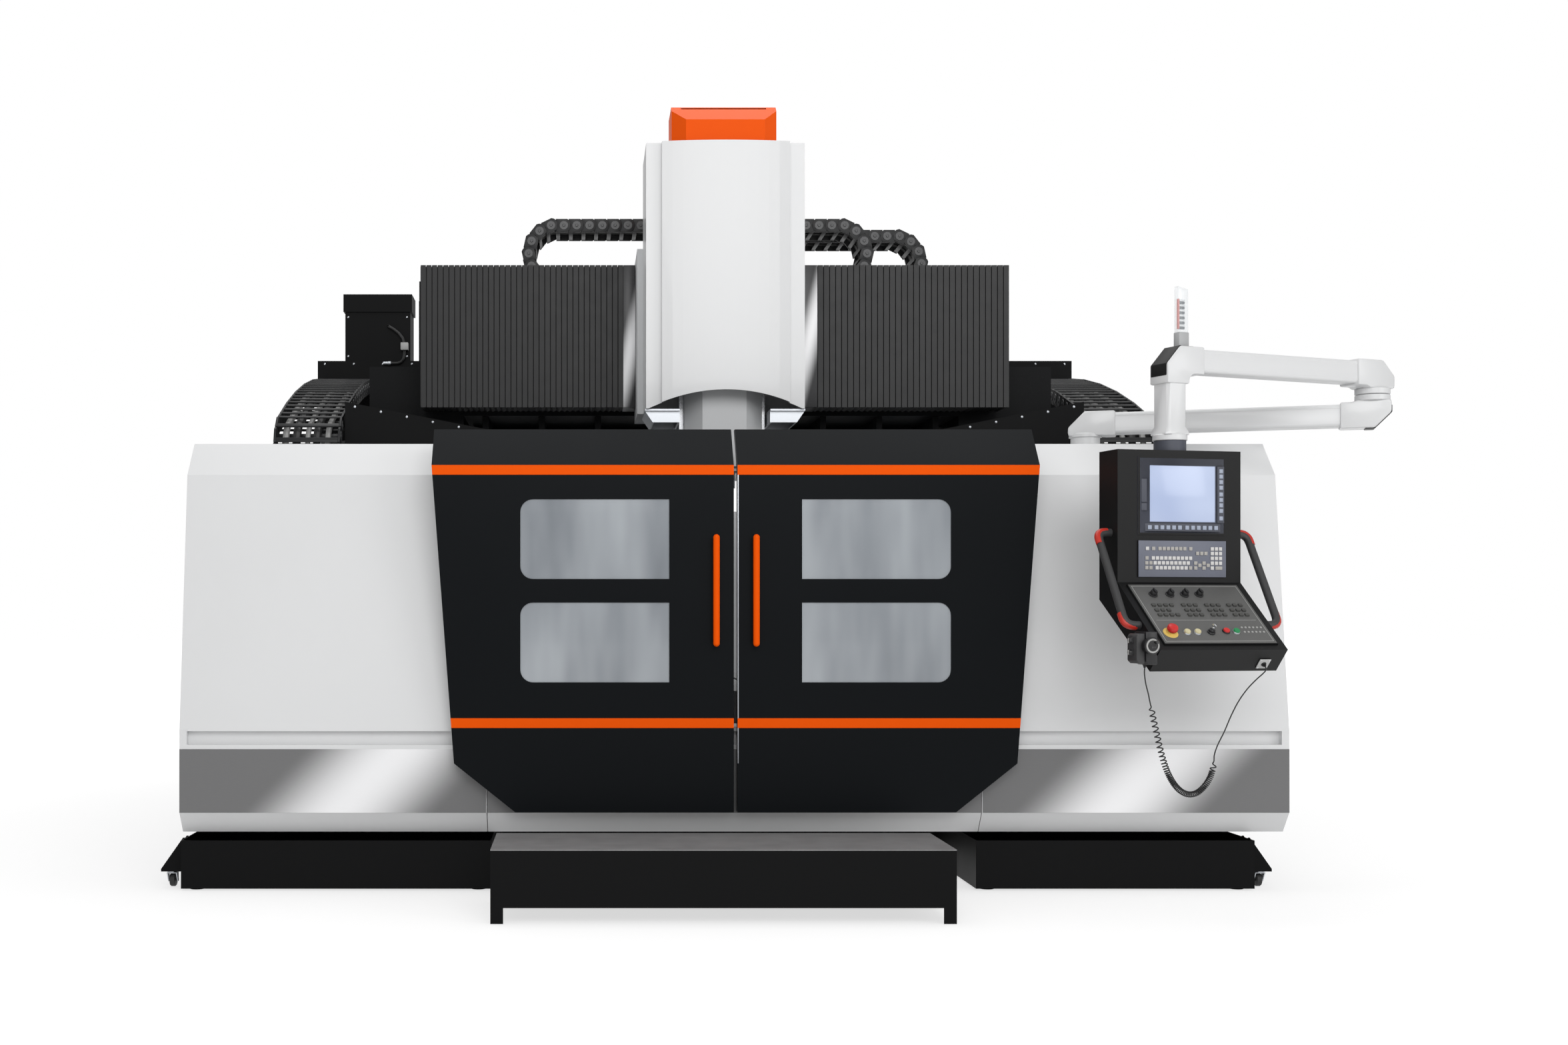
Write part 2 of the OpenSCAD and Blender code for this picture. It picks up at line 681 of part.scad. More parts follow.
// Orange cap over the ram's motor, with bevelled front corners and top edges
cap_h = 200;
module head_cap() {
    base = [[-245, saddle_front - 60], [-245, head_front + 150], [-182, head_front + 62],
        [182, head_front + 62], [245, head_front + 150], [245, saddle_front - 60]];
    color("#ef5a0a") translate([0, 0, head_top]) difference() {
        intersection() {
            linear_extrude(cap_h) polygon(base);
            translate([-300, 0, 0]) rotate([90, 0, 90]) linear_extrude(600)
                polygon([[head_front + 62, 0], [head_front + 62, 110], [head_front + 190, cap_h],
                    [saddle_front - 60, cap_h], [saddle_front - 60, 0]]);
        }
        span([-200, head_front + 170, -1], [200, saddle_front - 70, cap_h - 6]);
    }
}

// Bracket that carries the top chains from the saddle back over the beam
chain_top_z = 3215;
module chain_bracket() {
    color("#1a1b1c") union() {
        span([-330, saddle_back - 240, saddle_z1], [330, saddle_back - 234, chain_plate_z]);
        span([-330, saddle_back - 240, chain_plate_z - 6], [330, beam_back - 20, chain_plate_z]);
        for (x = [-330, -3, 324])
            along_x([[saddle_back - 240, saddle_z1], [saddle_back - 100, saddle_z1],
                [saddle_back - 60, chain_plate_z - 5],
                [saddle_back - 240, chain_plate_z - 5]], x, x + 6);
    }
}

// Top chains: the upper run leaves the bracket, bends down and comes back in the beam's trough
top_pitch = 66;
top_h = 76;
top_w = 240;
top_turn = 180 / 7;
chain_plate_z = chain_top_z - top_h / 2;
chain_row_front = beam_front + 150;
chain_row_rear = beam_front + 420;
top_floor = chain_top_z - top_pitch / sin(top_turn / 2) - top_h / 2 - 6;
function top_angles(run, back) = concat([for (i = [1 : run]) 0], [for (i = [1 : 7]) i * top_turn],
    [for (i = [1 : back]) 180]);
module top_chain(side, start, y, run) {
    color("#1c1d1f") on_side(side) place(start, y, chain_top_z) mirror([1, 0, 0])
        energy_chain(top_angles(run, 8), top_pitch, top_h, top_w, 7);
}

// Ram: a square box with bevelled front edges
ram_z0 = 1900;
ram_bevel = 80;
module ram() {
    h = ram_w / 2;
    color("#d9dadb") union() {
        along_z([[-h, ram_y + h], [-h, ram_y - h + ram_bevel * 1.1], [-h + ram_bevel, ram_y - h],
            [h - ram_bevel, ram_y - h],
            [h, ram_y - h + ram_bevel * 1.1], [h, ram_y + h]], ram_z0, head_top - 60);
        place(0, ram_y, ram_z0 - 20) cylinder(h = 21, r = ram_w / 2 - 12);
    }
}
module ram_rails() {
    color("#c4c8cc") for (s = [-1, 1])
        span([s > 0 ? ram_w / 2 : -ram_w / 2 - 20, ram_y - 20, ram_z0 + 60],
            [s > 0 ? ram_w / 2 + 20 : -ram_w / 2, ram_y + 30, head_top - 80]);
}

// Spindle nose with its drive holes on the standard circle
nose_l = 40;
nose_pcd = 101.6;
nose_hole_r = 8;
module spindle_nose() {
    z = ram_z0 - 20;
    color("#a9adb1") place(0, ram_y) difference() {
        union() {
            translate([0, 0, z - 30]) cylinder(h = 30, r = 110);
            translate([0, 0, z - 30 - nose_l]) cylinder(h = nose_l + 1, r = nose_r);
        }
        translate([0, 0, z - 30 - nose_l - 1]) cylinder(h = 60, r = 25);
        for (a = [45 : 90 : 315]) rotate([0, 0, a]) translate([nose_pcd / 2, 0, z - 30 - nose_l - 1])
            cylinder(h = 26, r = nose_hole_r);
    }
}

// Front doors: folded sheet trays with two window openings each
door_bevel_z = 1855;
door_top_z = 2024;
door_bevel_d = 148;
stripe_h = 42;
stripe_z = [door_bevel_z - stripe_h, 718];
window_in = 287;
window_z = [915, 1362];
shoe_l = 120;
shoe_x = [260, 1150];
door_outline = [[door_gap / 2, door_z0], [door_half_base, door_z0], [door_half_low, door_corner_z],
    [door_half_top, door_bevel_z], [door_half_top, door_top_z], [door_gap / 2, door_top_z]];
function door_profile(t) = [[door_face + t, door_z0 - 1], [door_face + t, door_bevel_z - t * 0.5],
    [door_face + door_bevel_d + t, door_top_z],
    [door_face + door_bevel_d + door_t, door_top_z], [door_face + door_t, door_bevel_z - 20],
        [door_face + door_t, door_z0 - 1]];
module window_shape(grow) {
    x0 = window_in - grow;
    x1 = window_in + window_w + grow;
    r = window_r + grow;
    h = window_h + 2 * grow;
    polygon(concat([[x0, -grow]], arc([x1 - r, -grow + r], r, -90, 0, 8),
        arc([x1 - r, -grow + h - r], r, 0, 90, 8), [[x0, -grow + h]]));
}
module door_windows_cut(grow, y0, y1) {
    for (z = window_z) translate([0, y1, z]) rotate([90, 0, 0]) linear_extrude(y1 - y0) window_shape(grow);
}
module door(side) {
    inset = 18;
    color("#101315") on_side(side) difference() {
        union() {
            intersection() {
                along_y(door_outline, door_face - 1, door_face + 300);
                along_x(door_profile(0), 0, door_half_top + 10);
            }
            // shoes that run in the groove
            for (x = shoe_x) span([x - shoe_l / 2, door_face + door_t - 1, band_z1 + 25],
                [x + shoe_l / 2, front_y + groove_d - 6, groove_z1 - 8]);
        }
        // pockets behind the skin, between the stiles
        for (x = [[door_gap / 2 + inset, window_in - 24], [window_in - 14, window_in + window_w + 14]])
            span([x[0], door_face + 4, 800], [x[1], door_face + door_t + 1, door_bevel_z - 60]);
        door_windows_cut(0, door_face - 2, door_face + 10);
    }
}
module door_windows(side) {
    color([0.62, 0.66, 0.7, 0.6]) on_side(side) door_windows_cut(12, door_face + 4, door_face + 10);
}
module door_trim(side) {
    // width of the pair of doors at height z
    function edge(z) = door_half_low + (door_half_top - door_half_low) * (z - door_corner_z)
        / (door_bevel_z - door_corner_z);
    x = door_gap / 2 + 78;
    z0 = 1312 - handle_l / 2;
    stand = 42;
    color("#ef5a0a") on_side(side) {
        for (z = stripe_z)
            along_y([[door_gap / 2, z], [edge(z), z], [edge(z + stripe_h), z + stripe_h],
                [door_gap / 2, z + stripe_h]], door_face - 2, door_face);
        place(x, door_face - stand, z0) {
            translate([0, 0, handle_r]) cylinder(h = handle_l - 2 * handle_r, r = handle_r);
            translate([0, 0, handle_r]) sphere(r = handle_r);
            translate([0, 0, handle_l - handle_r]) sphere(r = handle_r);
        }
        for (z = [z0 + 40, z0 + handle_l - 40])
            place(x, door_face, z) rotate([90, 0, 0]) cylinder(h = stand, r = handle_r * 0.7);
    }
}

// Control arm: pivots, heights and the angles at which the arm stands
arm_pivot = [1653, door_face + 520];
lower_angle = -18.66;
upper_angle = 202.7;
box_yaw = 13;
elbow = arm_pivot + lower_arm_l * [cos(lower_angle), sin(lower_angle)];
post = elbow + upper_arm_l * [cos(upper_angle), sin(upper_angle)];
arm_z0 = 2034;
elbow_z = 2172;
arm_z1 = 2215;
post_foot = 1930;
hub_r = 66;
module arm_base() {
    color("#e8e9ea") place(arm_pivot[0], arm_pivot[1], enclosure_top) {
        cylinder(h = 8, r = hub_r + 14);
        cylinder(h = arm_z0 - enclosure_top - 12, r = hub_r);
    }
}

// A tube of the arm from a to b, with rounded corners in section
module arm_bar(x0, x1, z) {
    c = 10;
    s = arm_tube / 2;
    translate([x0, 0, z + s]) rotate([90, 0, 90]) linear_extrude(x1 - x0)
        polygon([[-s + c, -s], [s - c, -s], [s, -s + c], [s, s - c], [s - c, s], [-s + c, s], [-s, s - c],
            [-s, -s + c]]);
}
// Castings of the arm. A socket grips the tube, and a ring turns on the ring of the next piece.
// Profiles are [along the tube, up], and the casting's corners are cut in plan.
socket_wall = 8;
socket_l = 135;
ring_r = 73.5;
ring_h = 26;
casting_cut = 14;
turn_out = 74;
bend_cut = 68;
arm_z_low = arm_z0 - socket_wall;
arm_z_high = arm_z1 + arm_tube + socket_wall;
module casting(points, x0, x1) {
    h = arm_tube / 2 + socket_wall;
    c = casting_cut;
    intersection() {
        along_y(points, -h, h);
        along_z([[x0, -h + c], [x0 + c, -h], [x1 - c, -h], [x1, -h + c], [x1, h - c], [x1 - c, h],
            [x0 + c, h], [x0, h - c]],
            arm_z0 - 60, arm_z1 + arm_tube + 60);
    }
}
module lower_arm() {
    foot = arm_z0 - 12 + run_gap;
    high = arm_z0 + arm_tube + socket_wall;
    color("#e8e9ea") place(arm_pivot[0], arm_pivot[1]) rotate([0, 0, lower_angle]) union() {
        arm_bar(hub_r, lower_arm_l - hub_r, arm_z0);
        casting([[socket_l, arm_z_low], [socket_l, high], [0, high], [-turn_out, high - turn_out],
            [-turn_out, arm_z0],
            [-hub_r, foot + 10], [hub_r, foot + 10], [hub_r + 20, arm_z_low]], -turn_out, socket_l);
        place(0, 0, foot) cylinder(h = 18, r = ring_r);
        place(lower_arm_l) {
            casting([[-socket_l, arm_z_low], [turn_out - bend_cut, arm_z_low],
                [turn_out, arm_z_low + bend_cut], [turn_out, elbow_z - ring_h - 4],
                [hub_r, elbow_z - ring_h + 2], [-hub_r, elbow_z - ring_h + 2], [-hub_r - 20, high],
                    [-socket_l, high]], -socket_l, turn_out);
            place(0, 0, elbow_z - ring_h) cylinder(h = ring_h, r = ring_r);
        }
    }
}
module upper_arm() {
    low = arm_z1 - socket_wall;
    h = arm_tube / 2 + socket_wall;
    ring_top = elbow_z + run_gap + ring_h;
    color("#e8e9ea") place(elbow[0], elbow[1]) rotate([0, 0, upper_angle]) union() {
        arm_bar(hub_r, upper_arm_l - 40, arm_z1);
        casting([[socket_l, arm_z_high], [turn_out - bend_cut - 14, arm_z_high],
            [-turn_out, arm_z_high - bend_cut], [-turn_out, ring_top + 4],
            [-hub_r, ring_top - 2], [hub_r, ring_top - 2], [hub_r + 20, low], [socket_l, low]], -turn_out,
                socket_l);
        place(0, 0, elbow_z + run_gap) cylinder(h = ring_h, r = ring_r);
        place(upper_arm_l) {
            casting(concat([[-socket_l, arm_z_high], [-socket_l, low], [-h - 30, low]],
                arc([-h - 30, low - 30], 30, 67.5, 0, 3),
                [[-h, low - 42], [h, low - 42], [h, post_bevel_z], [post_bevel_x, arm_z_high]]), -socket_l,
                    h);
            // post with cut corners, on a flared foot
            post_w = arm_tube / 2 + 1;
            along_z(cut_square(post_w, 10), post_foot + 34, arm_z1 + 10);
            intersection() {
                along_x(flare, -100, 100);
                along_y(flare, -100, 100);
                along_z(cut_square(65, 26), post_foot, post_foot + 80);
            }
            place(0, 0, post_foot) cylinder(h = 26, r = 70);
        }
    }
}
function cut_square(w, c) = [[w, -w + c], [w, w - c], [w - c, w], [-w + c, w], [-w, w - c], [-w, -w + c],
    [-w + c, -w], [w - c, -w]];
flare = [[-65, post_foot + 25], [65, post_foot + 25], [65, post_foot + 36], [50, post_foot + 58],
    [-50, post_foot + 58], [-65, post_foot + 36]];
post_bevel_x = -12;
post_bevel_z = arm_z1 + 30;

// Black caps over the cable openings, on the bevelled corners of two castings
cap_t = 3;
cap_half = 42;
module elbow_cap() {
    b = turn_out - bend_cut;
    color("#101112") place(arm_pivot[0], arm_pivot[1]) rotate([0, 0, lower_angle]) place(lower_arm_l)
        along_y([[b - 38, arm_z_low], [b, arm_z_low], [turn_out, arm_z_low + bend_cut],
            [turn_out, arm_z_low + bend_cut + 30],
            [turn_out + cap_t, arm_z_low + bend_cut + 30], [turn_out + cap_t,
                arm_z_low + bend_cut - cap_t * 0.42],
            [b + cap_t * 0.42, arm_z_low - cap_t], [b - 38, arm_z_low - cap_t]], -cap_half, cap_half);
}
module post_cap() {
    h = arm_tube / 2 + socket_wall;
    color("#101112") place(elbow[0], elbow[1]) rotate([0, 0, upper_angle]) place(upper_arm_l)
        along_y([[h, post_bevel_z - 48], [h, post_bevel_z], [post_bevel_x, arm_z_high], [-20, arm_z_high],
            [-20, arm_z_high + cap_t], [post_bevel_x + cap_t * 0.4, arm_z_high + cap_t],
                [h + cap_t, post_bevel_z + cap_t * 0.4],
            [h + cap_t, post_bevel_z - 48]], -cap_half, cap_half);
}

// Signal lamp: foot plate, stem and a flat blade with a slanted top
lamp_back = 60;
module signal_lamp() {
    color([0.9, 0.93, 0.95]) place(elbow[0], elbow[1]) rotate([0, 0, upper_angle])
        place(upper_arm_l - lamp_back, 0, arm_z_high) {
        span([-38, -30, 0], [38, 30, 6]);
        span([-26, -18, 6], [26, 18, 66]);
        along_y([[-26, 66], [26, 66], [26, 256], [-26, 244]], -13, 13);
    }
}

// Control box with its console, in the box's own axes: front towards -Y
box_z1 = 1885;
box_z0 = box_z1 - box_h;
console_z = box_z0 - 272;
console_low = box_z0 - 358;
console_lip = 80;
socket_down = 54.8;
module at_box() {
    place(post[0], post[1]) rotate([0, 0, box_yaw]) children();
}
module control_box() {
    front = -box_d / 2;
    color("#0b0c0d") at_box() union() {
        along_x([[front, box_z1], [front, box_z0], [front - console_d, console_z],
            [front - console_d + console_lip, console_low],
            [box_d / 2, box_z0 - 70], [box_d / 2, box_z1]], -box_w / 2, box_w / 2);
        // plate that carries the keys, raised a little from the console's face
        translate([0, front, box_z0]) rotate([atan2(box_z0 - console_z, console_d), 0, 0])
            translate([-box_w / 2 + 30, -norm([console_d, box_z0 - console_z]) + 30, 0])
                cube([box_w - 60, norm([console_d, box_z0 - console_z]) - 50, 6]);
        // display and keyboard bezels
        span([-190, front - 3, box_z1 - 350], [209, front + 1, box_z1 - 28]);
        span([-190, front - 3, box_z0 + 22], [209, front + 1, box_z0 + 172]);
        // socket plate and gland of the handwheel's cord, square to the console's lower front
        translate([203, front - console_d + socket_down * console_lip / (console_z - console_low),
            console_z - socket_down])
            rotate([atan2(console_lip, console_z - console_low), 0, 0]) {
                span([-24, -5, -24], [24, 1, 24]);
                rotate([90, 0, 0]) cylinder(h = 15, r = gland_r);
            }
        // swivel neck
        translate([0, 0, box_z1 - 1]) cylinder(h = post_foot - run_gap - box_z1 + 1, r = 64);
    }
}

// Grab handles on both sides of the control box, as swept bars
grip_r = 15;
grip_out = 62;
module grip_bar(a, b) {
    d = b - a;
    translate(a) rotate([0, acos(d[2] / norm(d)), atan2(d[1], d[0])])
        cylinder(h = norm(d), r = grip_r, $fn = 24);
}
module control_handles() {
    top = [box_w / 2, -20, 1545];
    low = [box_w / 2, -box_d / 2 - 175, 1165];
    out = [grip_out, 0, 0];
    color("#232425") at_box() for (side = [-1, 1]) on_side(side) union() {
        grip_bar(top, top + out);
        grip_bar(top + out, low + out);
        grip_bar(low + out, low);
        translate(top + out) sphere(r = grip_r + 1.5, $fn = 24);
        translate(low + out) sphere(r = grip_r + 1.5, $fn = 24);
    }
}

// Handwheel unit that hangs in its holder on the left of the console
handwheel_at = [-box_w / 2, -box_d / 2 - 250, 1085];
dial_r = 34;
gland_r = 7;
gland_l = 14;
module handwheel() {
    color("#151617") at_box() translate(handwheel_at) union() {
        // holder on the console's side
        along_y([[0, 55], [-50, 55], [-50, -60], [-36, -75], [0, -75]], -60, 30);
        // body with two selector knobs on its outer side
        along_y([[-49, 48], [-78, 48], [-86, 36], [-86, -58], [-74, -70], [-49, -70]], -52, 22);
        for (z = [20, -26]) {
            place(-100, -16, z) rotate([0, 90, 0]) cylinder(h = 15, r = 12);
            place(-104, -16, z) rotate([0, 90, 0]) cylinder(h = 5, r = 9);
        }
        // dial with its rim and a crank knob
        place(-dial_r - 4, -59, 0) rotate([90, 0, 0]) {
            cylinder(h = 22, r = dial_r - 4);
            place(0, 0, 21) cylinder(h = 10, r = dial_r);
            place(14, 14, 30) cylinder(h = 16, r = 7);
        }
        // cord gland
        place(-25, -5, -75 - gland_l) cylinder(h = gland_l + 1, r = gland_r);
    }
}

// Curly cord of the handwheel, in the box's axes: leads on both sides and one fat tube
cord_d = 5;
coil_d = 25;
lead_a = [[-306, -330, 995.6], [-307, -330, 978], [-305, -331, 955], [-300, -331, 928], [-292, -331, 900],
    [-285, -330, 872], [-280, -330, 850]];
coil_path = [[-280, -330, 850], [-272, -329, 815], [-262, -328, 775], [-250, -327, 730], [-237, -326, 680],
    [-222, -326, 630],
    [-202, -325, 580], [-176, -325, 537], [-144, -324, 506], [-108, -324, 492], [-72, -324, 498],
        [-40, -324, 522], [-16, -325, 556], [-2, -326, 596], [2, -326, 625]];
lead_b = [[2, -326, 625], [4, -326, 650], [20, -326, 690], [48, -326, 740], [76, -327, 800],
    [106, -332, 858], [138, -343, 908],
    [168, -358, 946], [190, -370, 970], [202, -375, 985], [204, -372, 996], [203, -365.4, 1002.6]];
function tangent(path, i) = let(a = path[max(i - 1, 0)], b = path[min(i + 1, len(path) - 1)]) (b - a)
    / norm(b - a);
function ring(p, t, r, n) = let(u = cross(t, [0, 1, 0]) / norm(cross(t, [0, 1, 0])), v = cross(t, u))
    [for (k = [0 : n - 1]) p + r * (cos(360 * k / n) * u + sin(360 * k / n) * v)];
module swept_tube(path, r, n) {
    m = len(path);
    points = [for (i = [0 : m - 1]) each ring(path[i], tangent(path, i), r, n)];
    faces = concat([[for (k = [0 : n - 1]) k]],
        [for (i = [0 : m - 2], k = [0 : n - 1]) [i * n + (k + 1) % n, i * n + k, (i + 1) * n + k,
            (i + 1) * n + (k + 1) % n]],
        [[for (k = [n - 1 : -1 : 0]) (m - 1) * n + k]]);
    polyhedron(points, faces, convexity = 6);
}
module cord_leads() {
    color("#161616") at_box() {
        swept_tube(lead_a, cord_d / 2, 8);
        swept_tube(lead_b, cord_d / 2, 8);
    }
}
module cord_coil() {
    color("#161616") at_box() swept_tube(coil_path, coil_d / 2, 10);
}

bed();
levelling_pads();
side_wall(-1);  // side_wall_left
side_wall(1);  // side_wall_right
guide_rails();
work_table();
enclosure(-1);  // enclosure_left
enclosure(1);  // enclosure_right
sill_panel();
steel_bands();
rear_panel();
splash_guards();
cable_troughs();
coolant_tank(-1);  // coolant_tank_left
coolant_tank(1);  // coolant_tank_right
step_frame();
step_tread();
caster_fork(-1);  // caster_fork_left
caster_fork(1);  // caster_fork_right
caster_wheel(-1);  // caster_wheel_left
caster_wheel(1);  // caster_wheel_right
crossbeam();
carriage(-1);  // carriage_left
carriage(1);  // carriage_right
front_guards();
drive_housings();
bellows(-1);  // bellows_left
bellows(1);  // bellows_right
side_chain(-1);  // side_chain_left
side_chain(1);  // side_chain_right
saddle();
head_cover();
head_skirt();
head_cap();
chain_bracket();
top_chain(-1, 96, chain_row_front, 11);  // top_chain_left
top_chain(1, 30, chain_row_front, 10);  // top_chain_front
top_chain(1, 30, chain_row_rear, 15);  // top_chain_rear
ram();
ram_rails();
spindle_nose();
door(-1);  // door_left
door(1);  // door_right
door_windows(-1);  // door_windows_left
door_windows(1);  // door_windows_right
door_trim(-1);  // door_trim_left
door_trim(1);  // door_trim_right
arm_base();
lower_arm();
elbow_cap();
upper_arm();
post_cap();
signal_lamp();
control_box();
control_handles();
handwheel();
cord_leads();
cord_coil();
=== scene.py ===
# %% [markdown]
# # A bridge machining center
#
# The machine's exact solids come in as a fixed frame. This lesson gives them their finishes and
# adds the pieces that make it look used and real: the pleated bellows, the control panel with its
# keys and knobs, the curly cord, the signal lamp and the small fittings.

# %% Load the frame
import json
import math

import bpy
from mathutils import Matrix, Vector


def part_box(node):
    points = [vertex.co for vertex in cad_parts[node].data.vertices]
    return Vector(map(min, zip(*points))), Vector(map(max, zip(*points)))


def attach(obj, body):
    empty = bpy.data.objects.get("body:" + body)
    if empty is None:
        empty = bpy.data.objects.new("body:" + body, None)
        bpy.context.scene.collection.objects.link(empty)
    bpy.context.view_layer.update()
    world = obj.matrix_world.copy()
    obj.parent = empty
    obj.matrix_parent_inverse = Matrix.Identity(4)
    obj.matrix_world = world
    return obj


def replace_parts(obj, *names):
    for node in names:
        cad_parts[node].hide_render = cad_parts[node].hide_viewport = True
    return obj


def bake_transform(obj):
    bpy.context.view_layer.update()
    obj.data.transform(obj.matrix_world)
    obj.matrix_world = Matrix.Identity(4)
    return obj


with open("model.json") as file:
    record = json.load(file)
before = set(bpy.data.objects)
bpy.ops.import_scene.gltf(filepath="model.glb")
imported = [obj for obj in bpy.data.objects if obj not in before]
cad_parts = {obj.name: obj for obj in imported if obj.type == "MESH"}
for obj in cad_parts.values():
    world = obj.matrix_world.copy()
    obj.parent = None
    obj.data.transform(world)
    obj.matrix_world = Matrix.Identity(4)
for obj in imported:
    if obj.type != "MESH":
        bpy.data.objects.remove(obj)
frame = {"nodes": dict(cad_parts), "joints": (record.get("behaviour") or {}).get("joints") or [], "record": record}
nodes = frame["nodes"]
joints = {joint["name"]: joint for joint in frame["joints"]}
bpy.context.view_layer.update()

# %% [markdown]
# The photograph was taken level, from 8 metres in front of the doors and left of the middle. All
# its verticals stay vertical, so the camera isn't tilted: the lens is shifted up and sideways.

# %% Camera
photo_size = (2352, 1568)
vanishing_point = (870, 925)
focal_pixels = 2776
eye = Vector((-0.673, -10.1, 1.2))
bpy.ops.object.camera_add(location=eye, rotation=(math.radians(90), 0, 0))
camera = bpy.context.object
camera.data.lens = camera.data.sensor_width * focal_pixels / photo_size[0]
camera.data.shift_x = (photo_size[0] / 2 - vanishing_point[0]) / photo_size[0]
camera.data.shift_y = (vanishing_point[1] - photo_size[1] / 2) / photo_size[0]
bpy.context.scene.camera = camera
print("lens", round(camera.data.lens, 2))

# %% [markdown]
# Shader maths is easier to read as an expression than as a list of nodes. `Wire` wraps one output
# socket and overloads the usual operators, and `Finish` is a material that is being built.


# %% Shader helpers
class Wire:
    """An output socket that can be added, multiplied and so on."""

    def __init__(self, finish, socket):
        self.finish = finish
        self.socket = socket

    def math(self, operation, *inputs):
        return self.finish.add("ShaderNodeMath", {"operation": operation}, dict(enumerate(inputs)))

    def __add__(self, other):
        return self.math("ADD", self, other)

    __radd__ = __add__

    def __sub__(self, other):
        return self.math("SUBTRACT", self, other)

    def __rsub__(self, other):
        return self.math("SUBTRACT", other, self)

    def __mul__(self, other):
        return self.math("MULTIPLY", self, other)

    __rmul__ = __mul__

    def __truediv__(self, other):
        return self.math("DIVIDE", self, other)

    def __gt__(self, other):
        return self.math("GREATER_THAN", self, other)

    def __lt__(self, other):
        return self.math("LESS_THAN", self, other)


class Finish:
    """A Principled material with a few shortcuts for its nodes."""

    def __init__(self, name, color, roughness=0.5, metallic=0.0, extra=None):
        self.material = bpy.data.materials.new(name)
        self.material.use_nodes = True
        self.tree = self.material.node_tree
        self.shader = self.tree.nodes["Principled BSDF"]
        self.color = (*color, 1)
        settings = {"Base Color": self.color, "Roughness": roughness, "Metallic": metallic}
        for socket, value in {**settings, **(extra or {})}.items():
            self.put(socket, value)

    def plug(self, target, value):
        if isinstance(value, Wire):
            self.tree.links.new(value.socket, target)
        else:
            target.default_value = value

    def put(self, socket, value):
        self.plug(self.shader.inputs[socket], value)

    def add(self, kind, settings=None, inputs=None, output=0):
        node = self.tree.nodes.new(kind)
        for key, value in (settings or {}).items():
            if key == "stops":
                ramp = node.color_ramp
                for position, color in value[1:-1]:
                    ramp.elements.new(position)
                for element, (position, color) in zip(ramp.elements, value):
                    element.position = position
                    element.color = (*color, 1)
            else:
                setattr(node, key, value)
        for key, value in (inputs or {}).items():
            self.plug(node.inputs[key], value)
        return Wire(self, node.outputs[output])

    def place(self):
        return self.add("ShaderNodeTexCoord", output="Object")

    def axes(self):
        split = self.add("ShaderNodeSeparateXYZ", inputs={0: self.place()})
        node = split.socket.node
        return [Wire(self, node.outputs[i]) for i in range(3)]

    def noise(self, scale, detail=3.0, stretch=(1, 1, 1)):
        vector = self.add("ShaderNodeMapping", inputs={"Vector": self.place(), "Scale": stretch})
        settings = {"Vector": vector, "Scale": scale, "Detail": detail}
        return self.add("ShaderNodeTexNoise", inputs=settings)

    def mix(self, factor, a, b):
        return self.add("ShaderNodeMix", {"data_type": "RGBA"}, {0: factor, 6: a, 7: b}, output=2)

    def bump(self, height, distance, strength=1.0):
        settings = {"Height": height, "Distance": distance, "Strength": strength}
        self.put("Normal", self.add("ShaderNodeBump", inputs=settings))

    def shade(self, factor):
        """The finish's colour, darkened where factor is low."""
        dark = tuple(0.8 * c for c in self.color[:3])
        return self.mix(factor, (*dark, 1), self.color)


# %% [markdown]
# Powder coat is smooth from far away and faintly pebbled close up, like the skin of an orange. It
# also picks up a light haze of dust and hands. A broad noise moves the colour and the roughness a
# little, and a fine one feeds the bump.


# %% Painted finishes
def powder_coat(name, color, roughness, pebble=0.00006, extra=None):
    finish = Finish(name, color, roughness, extra=extra)
    haze = finish.noise(1.7, 4.0)
    finish.put("Base Color", finish.shade(haze * 0.35 + 0.78))
    finish.put("Roughness", haze * 0.14 + (roughness - 0.07))
    finish.bump(finish.noise(420.0, 2.0), pebble)
    return finish.material


white_sheet = powder_coat("powder coat white", (0.72, 0.725, 0.73), 0.42)
white_head = powder_coat("head paint white", (0.69, 0.695, 0.7), 0.32, extra={"Coat Weight": 0.25})
white_arm = powder_coat("arm paint white", (0.69, 0.695, 0.7), 0.34, extra={"Coat Weight": 0.2})
white_casting = powder_coat("casting paint white", (0.62, 0.63, 0.64), 0.5, 0.0004)
dull = {"Specular IOR Level": 0.1}
black_sheet = powder_coat("powder coat black", (0.0036, 0.0037, 0.004), 0.5, extra=dull)
black_casting = powder_coat("casting paint black", (0.008, 0.0083, 0.009), 0.55, 0.0005, dull)
black_door = powder_coat("door paint black", (0.0016, 0.0026, 0.0038), 0.34, 0.00003,
                         {"Specular IOR Level": 0.1})
black_box = powder_coat("box paint black", (0.0045, 0.0045, 0.0048), 0.46, 0.00012,
                        {"Specular IOR Level": 0.25})
orange = powder_coat("orange paint", (0.85, 0.093, 0.001), 0.34, 0.00003, {"Specular IOR Level": 0.05})
print("paints ready")

# %% [markdown]
# Metal comes in three kinds here. The polished band along the foot and the end plates carry a
# painted reflection: one slanted streak of light painted into their colour. The rails are ground
# along their length, and small fittings are zinc plated. The painted reflection is laid out on the
# machine's own coordinates, so it stays in place.


# %% Metal finishes
def brushed(name, color, roughness, stretch, metallic=1.0):
    finish = Finish(name, color, roughness, metallic)
    grain = finish.noise(60.0, 5.0, stretch)
    finish.put("Base Color", finish.shade(grain * 0.9 + 0.45))
    finish.put("Roughness", grain * 0.2 + (roughness - 0.1))
    finish.bump(grain, 0.00005)
    return finish.material


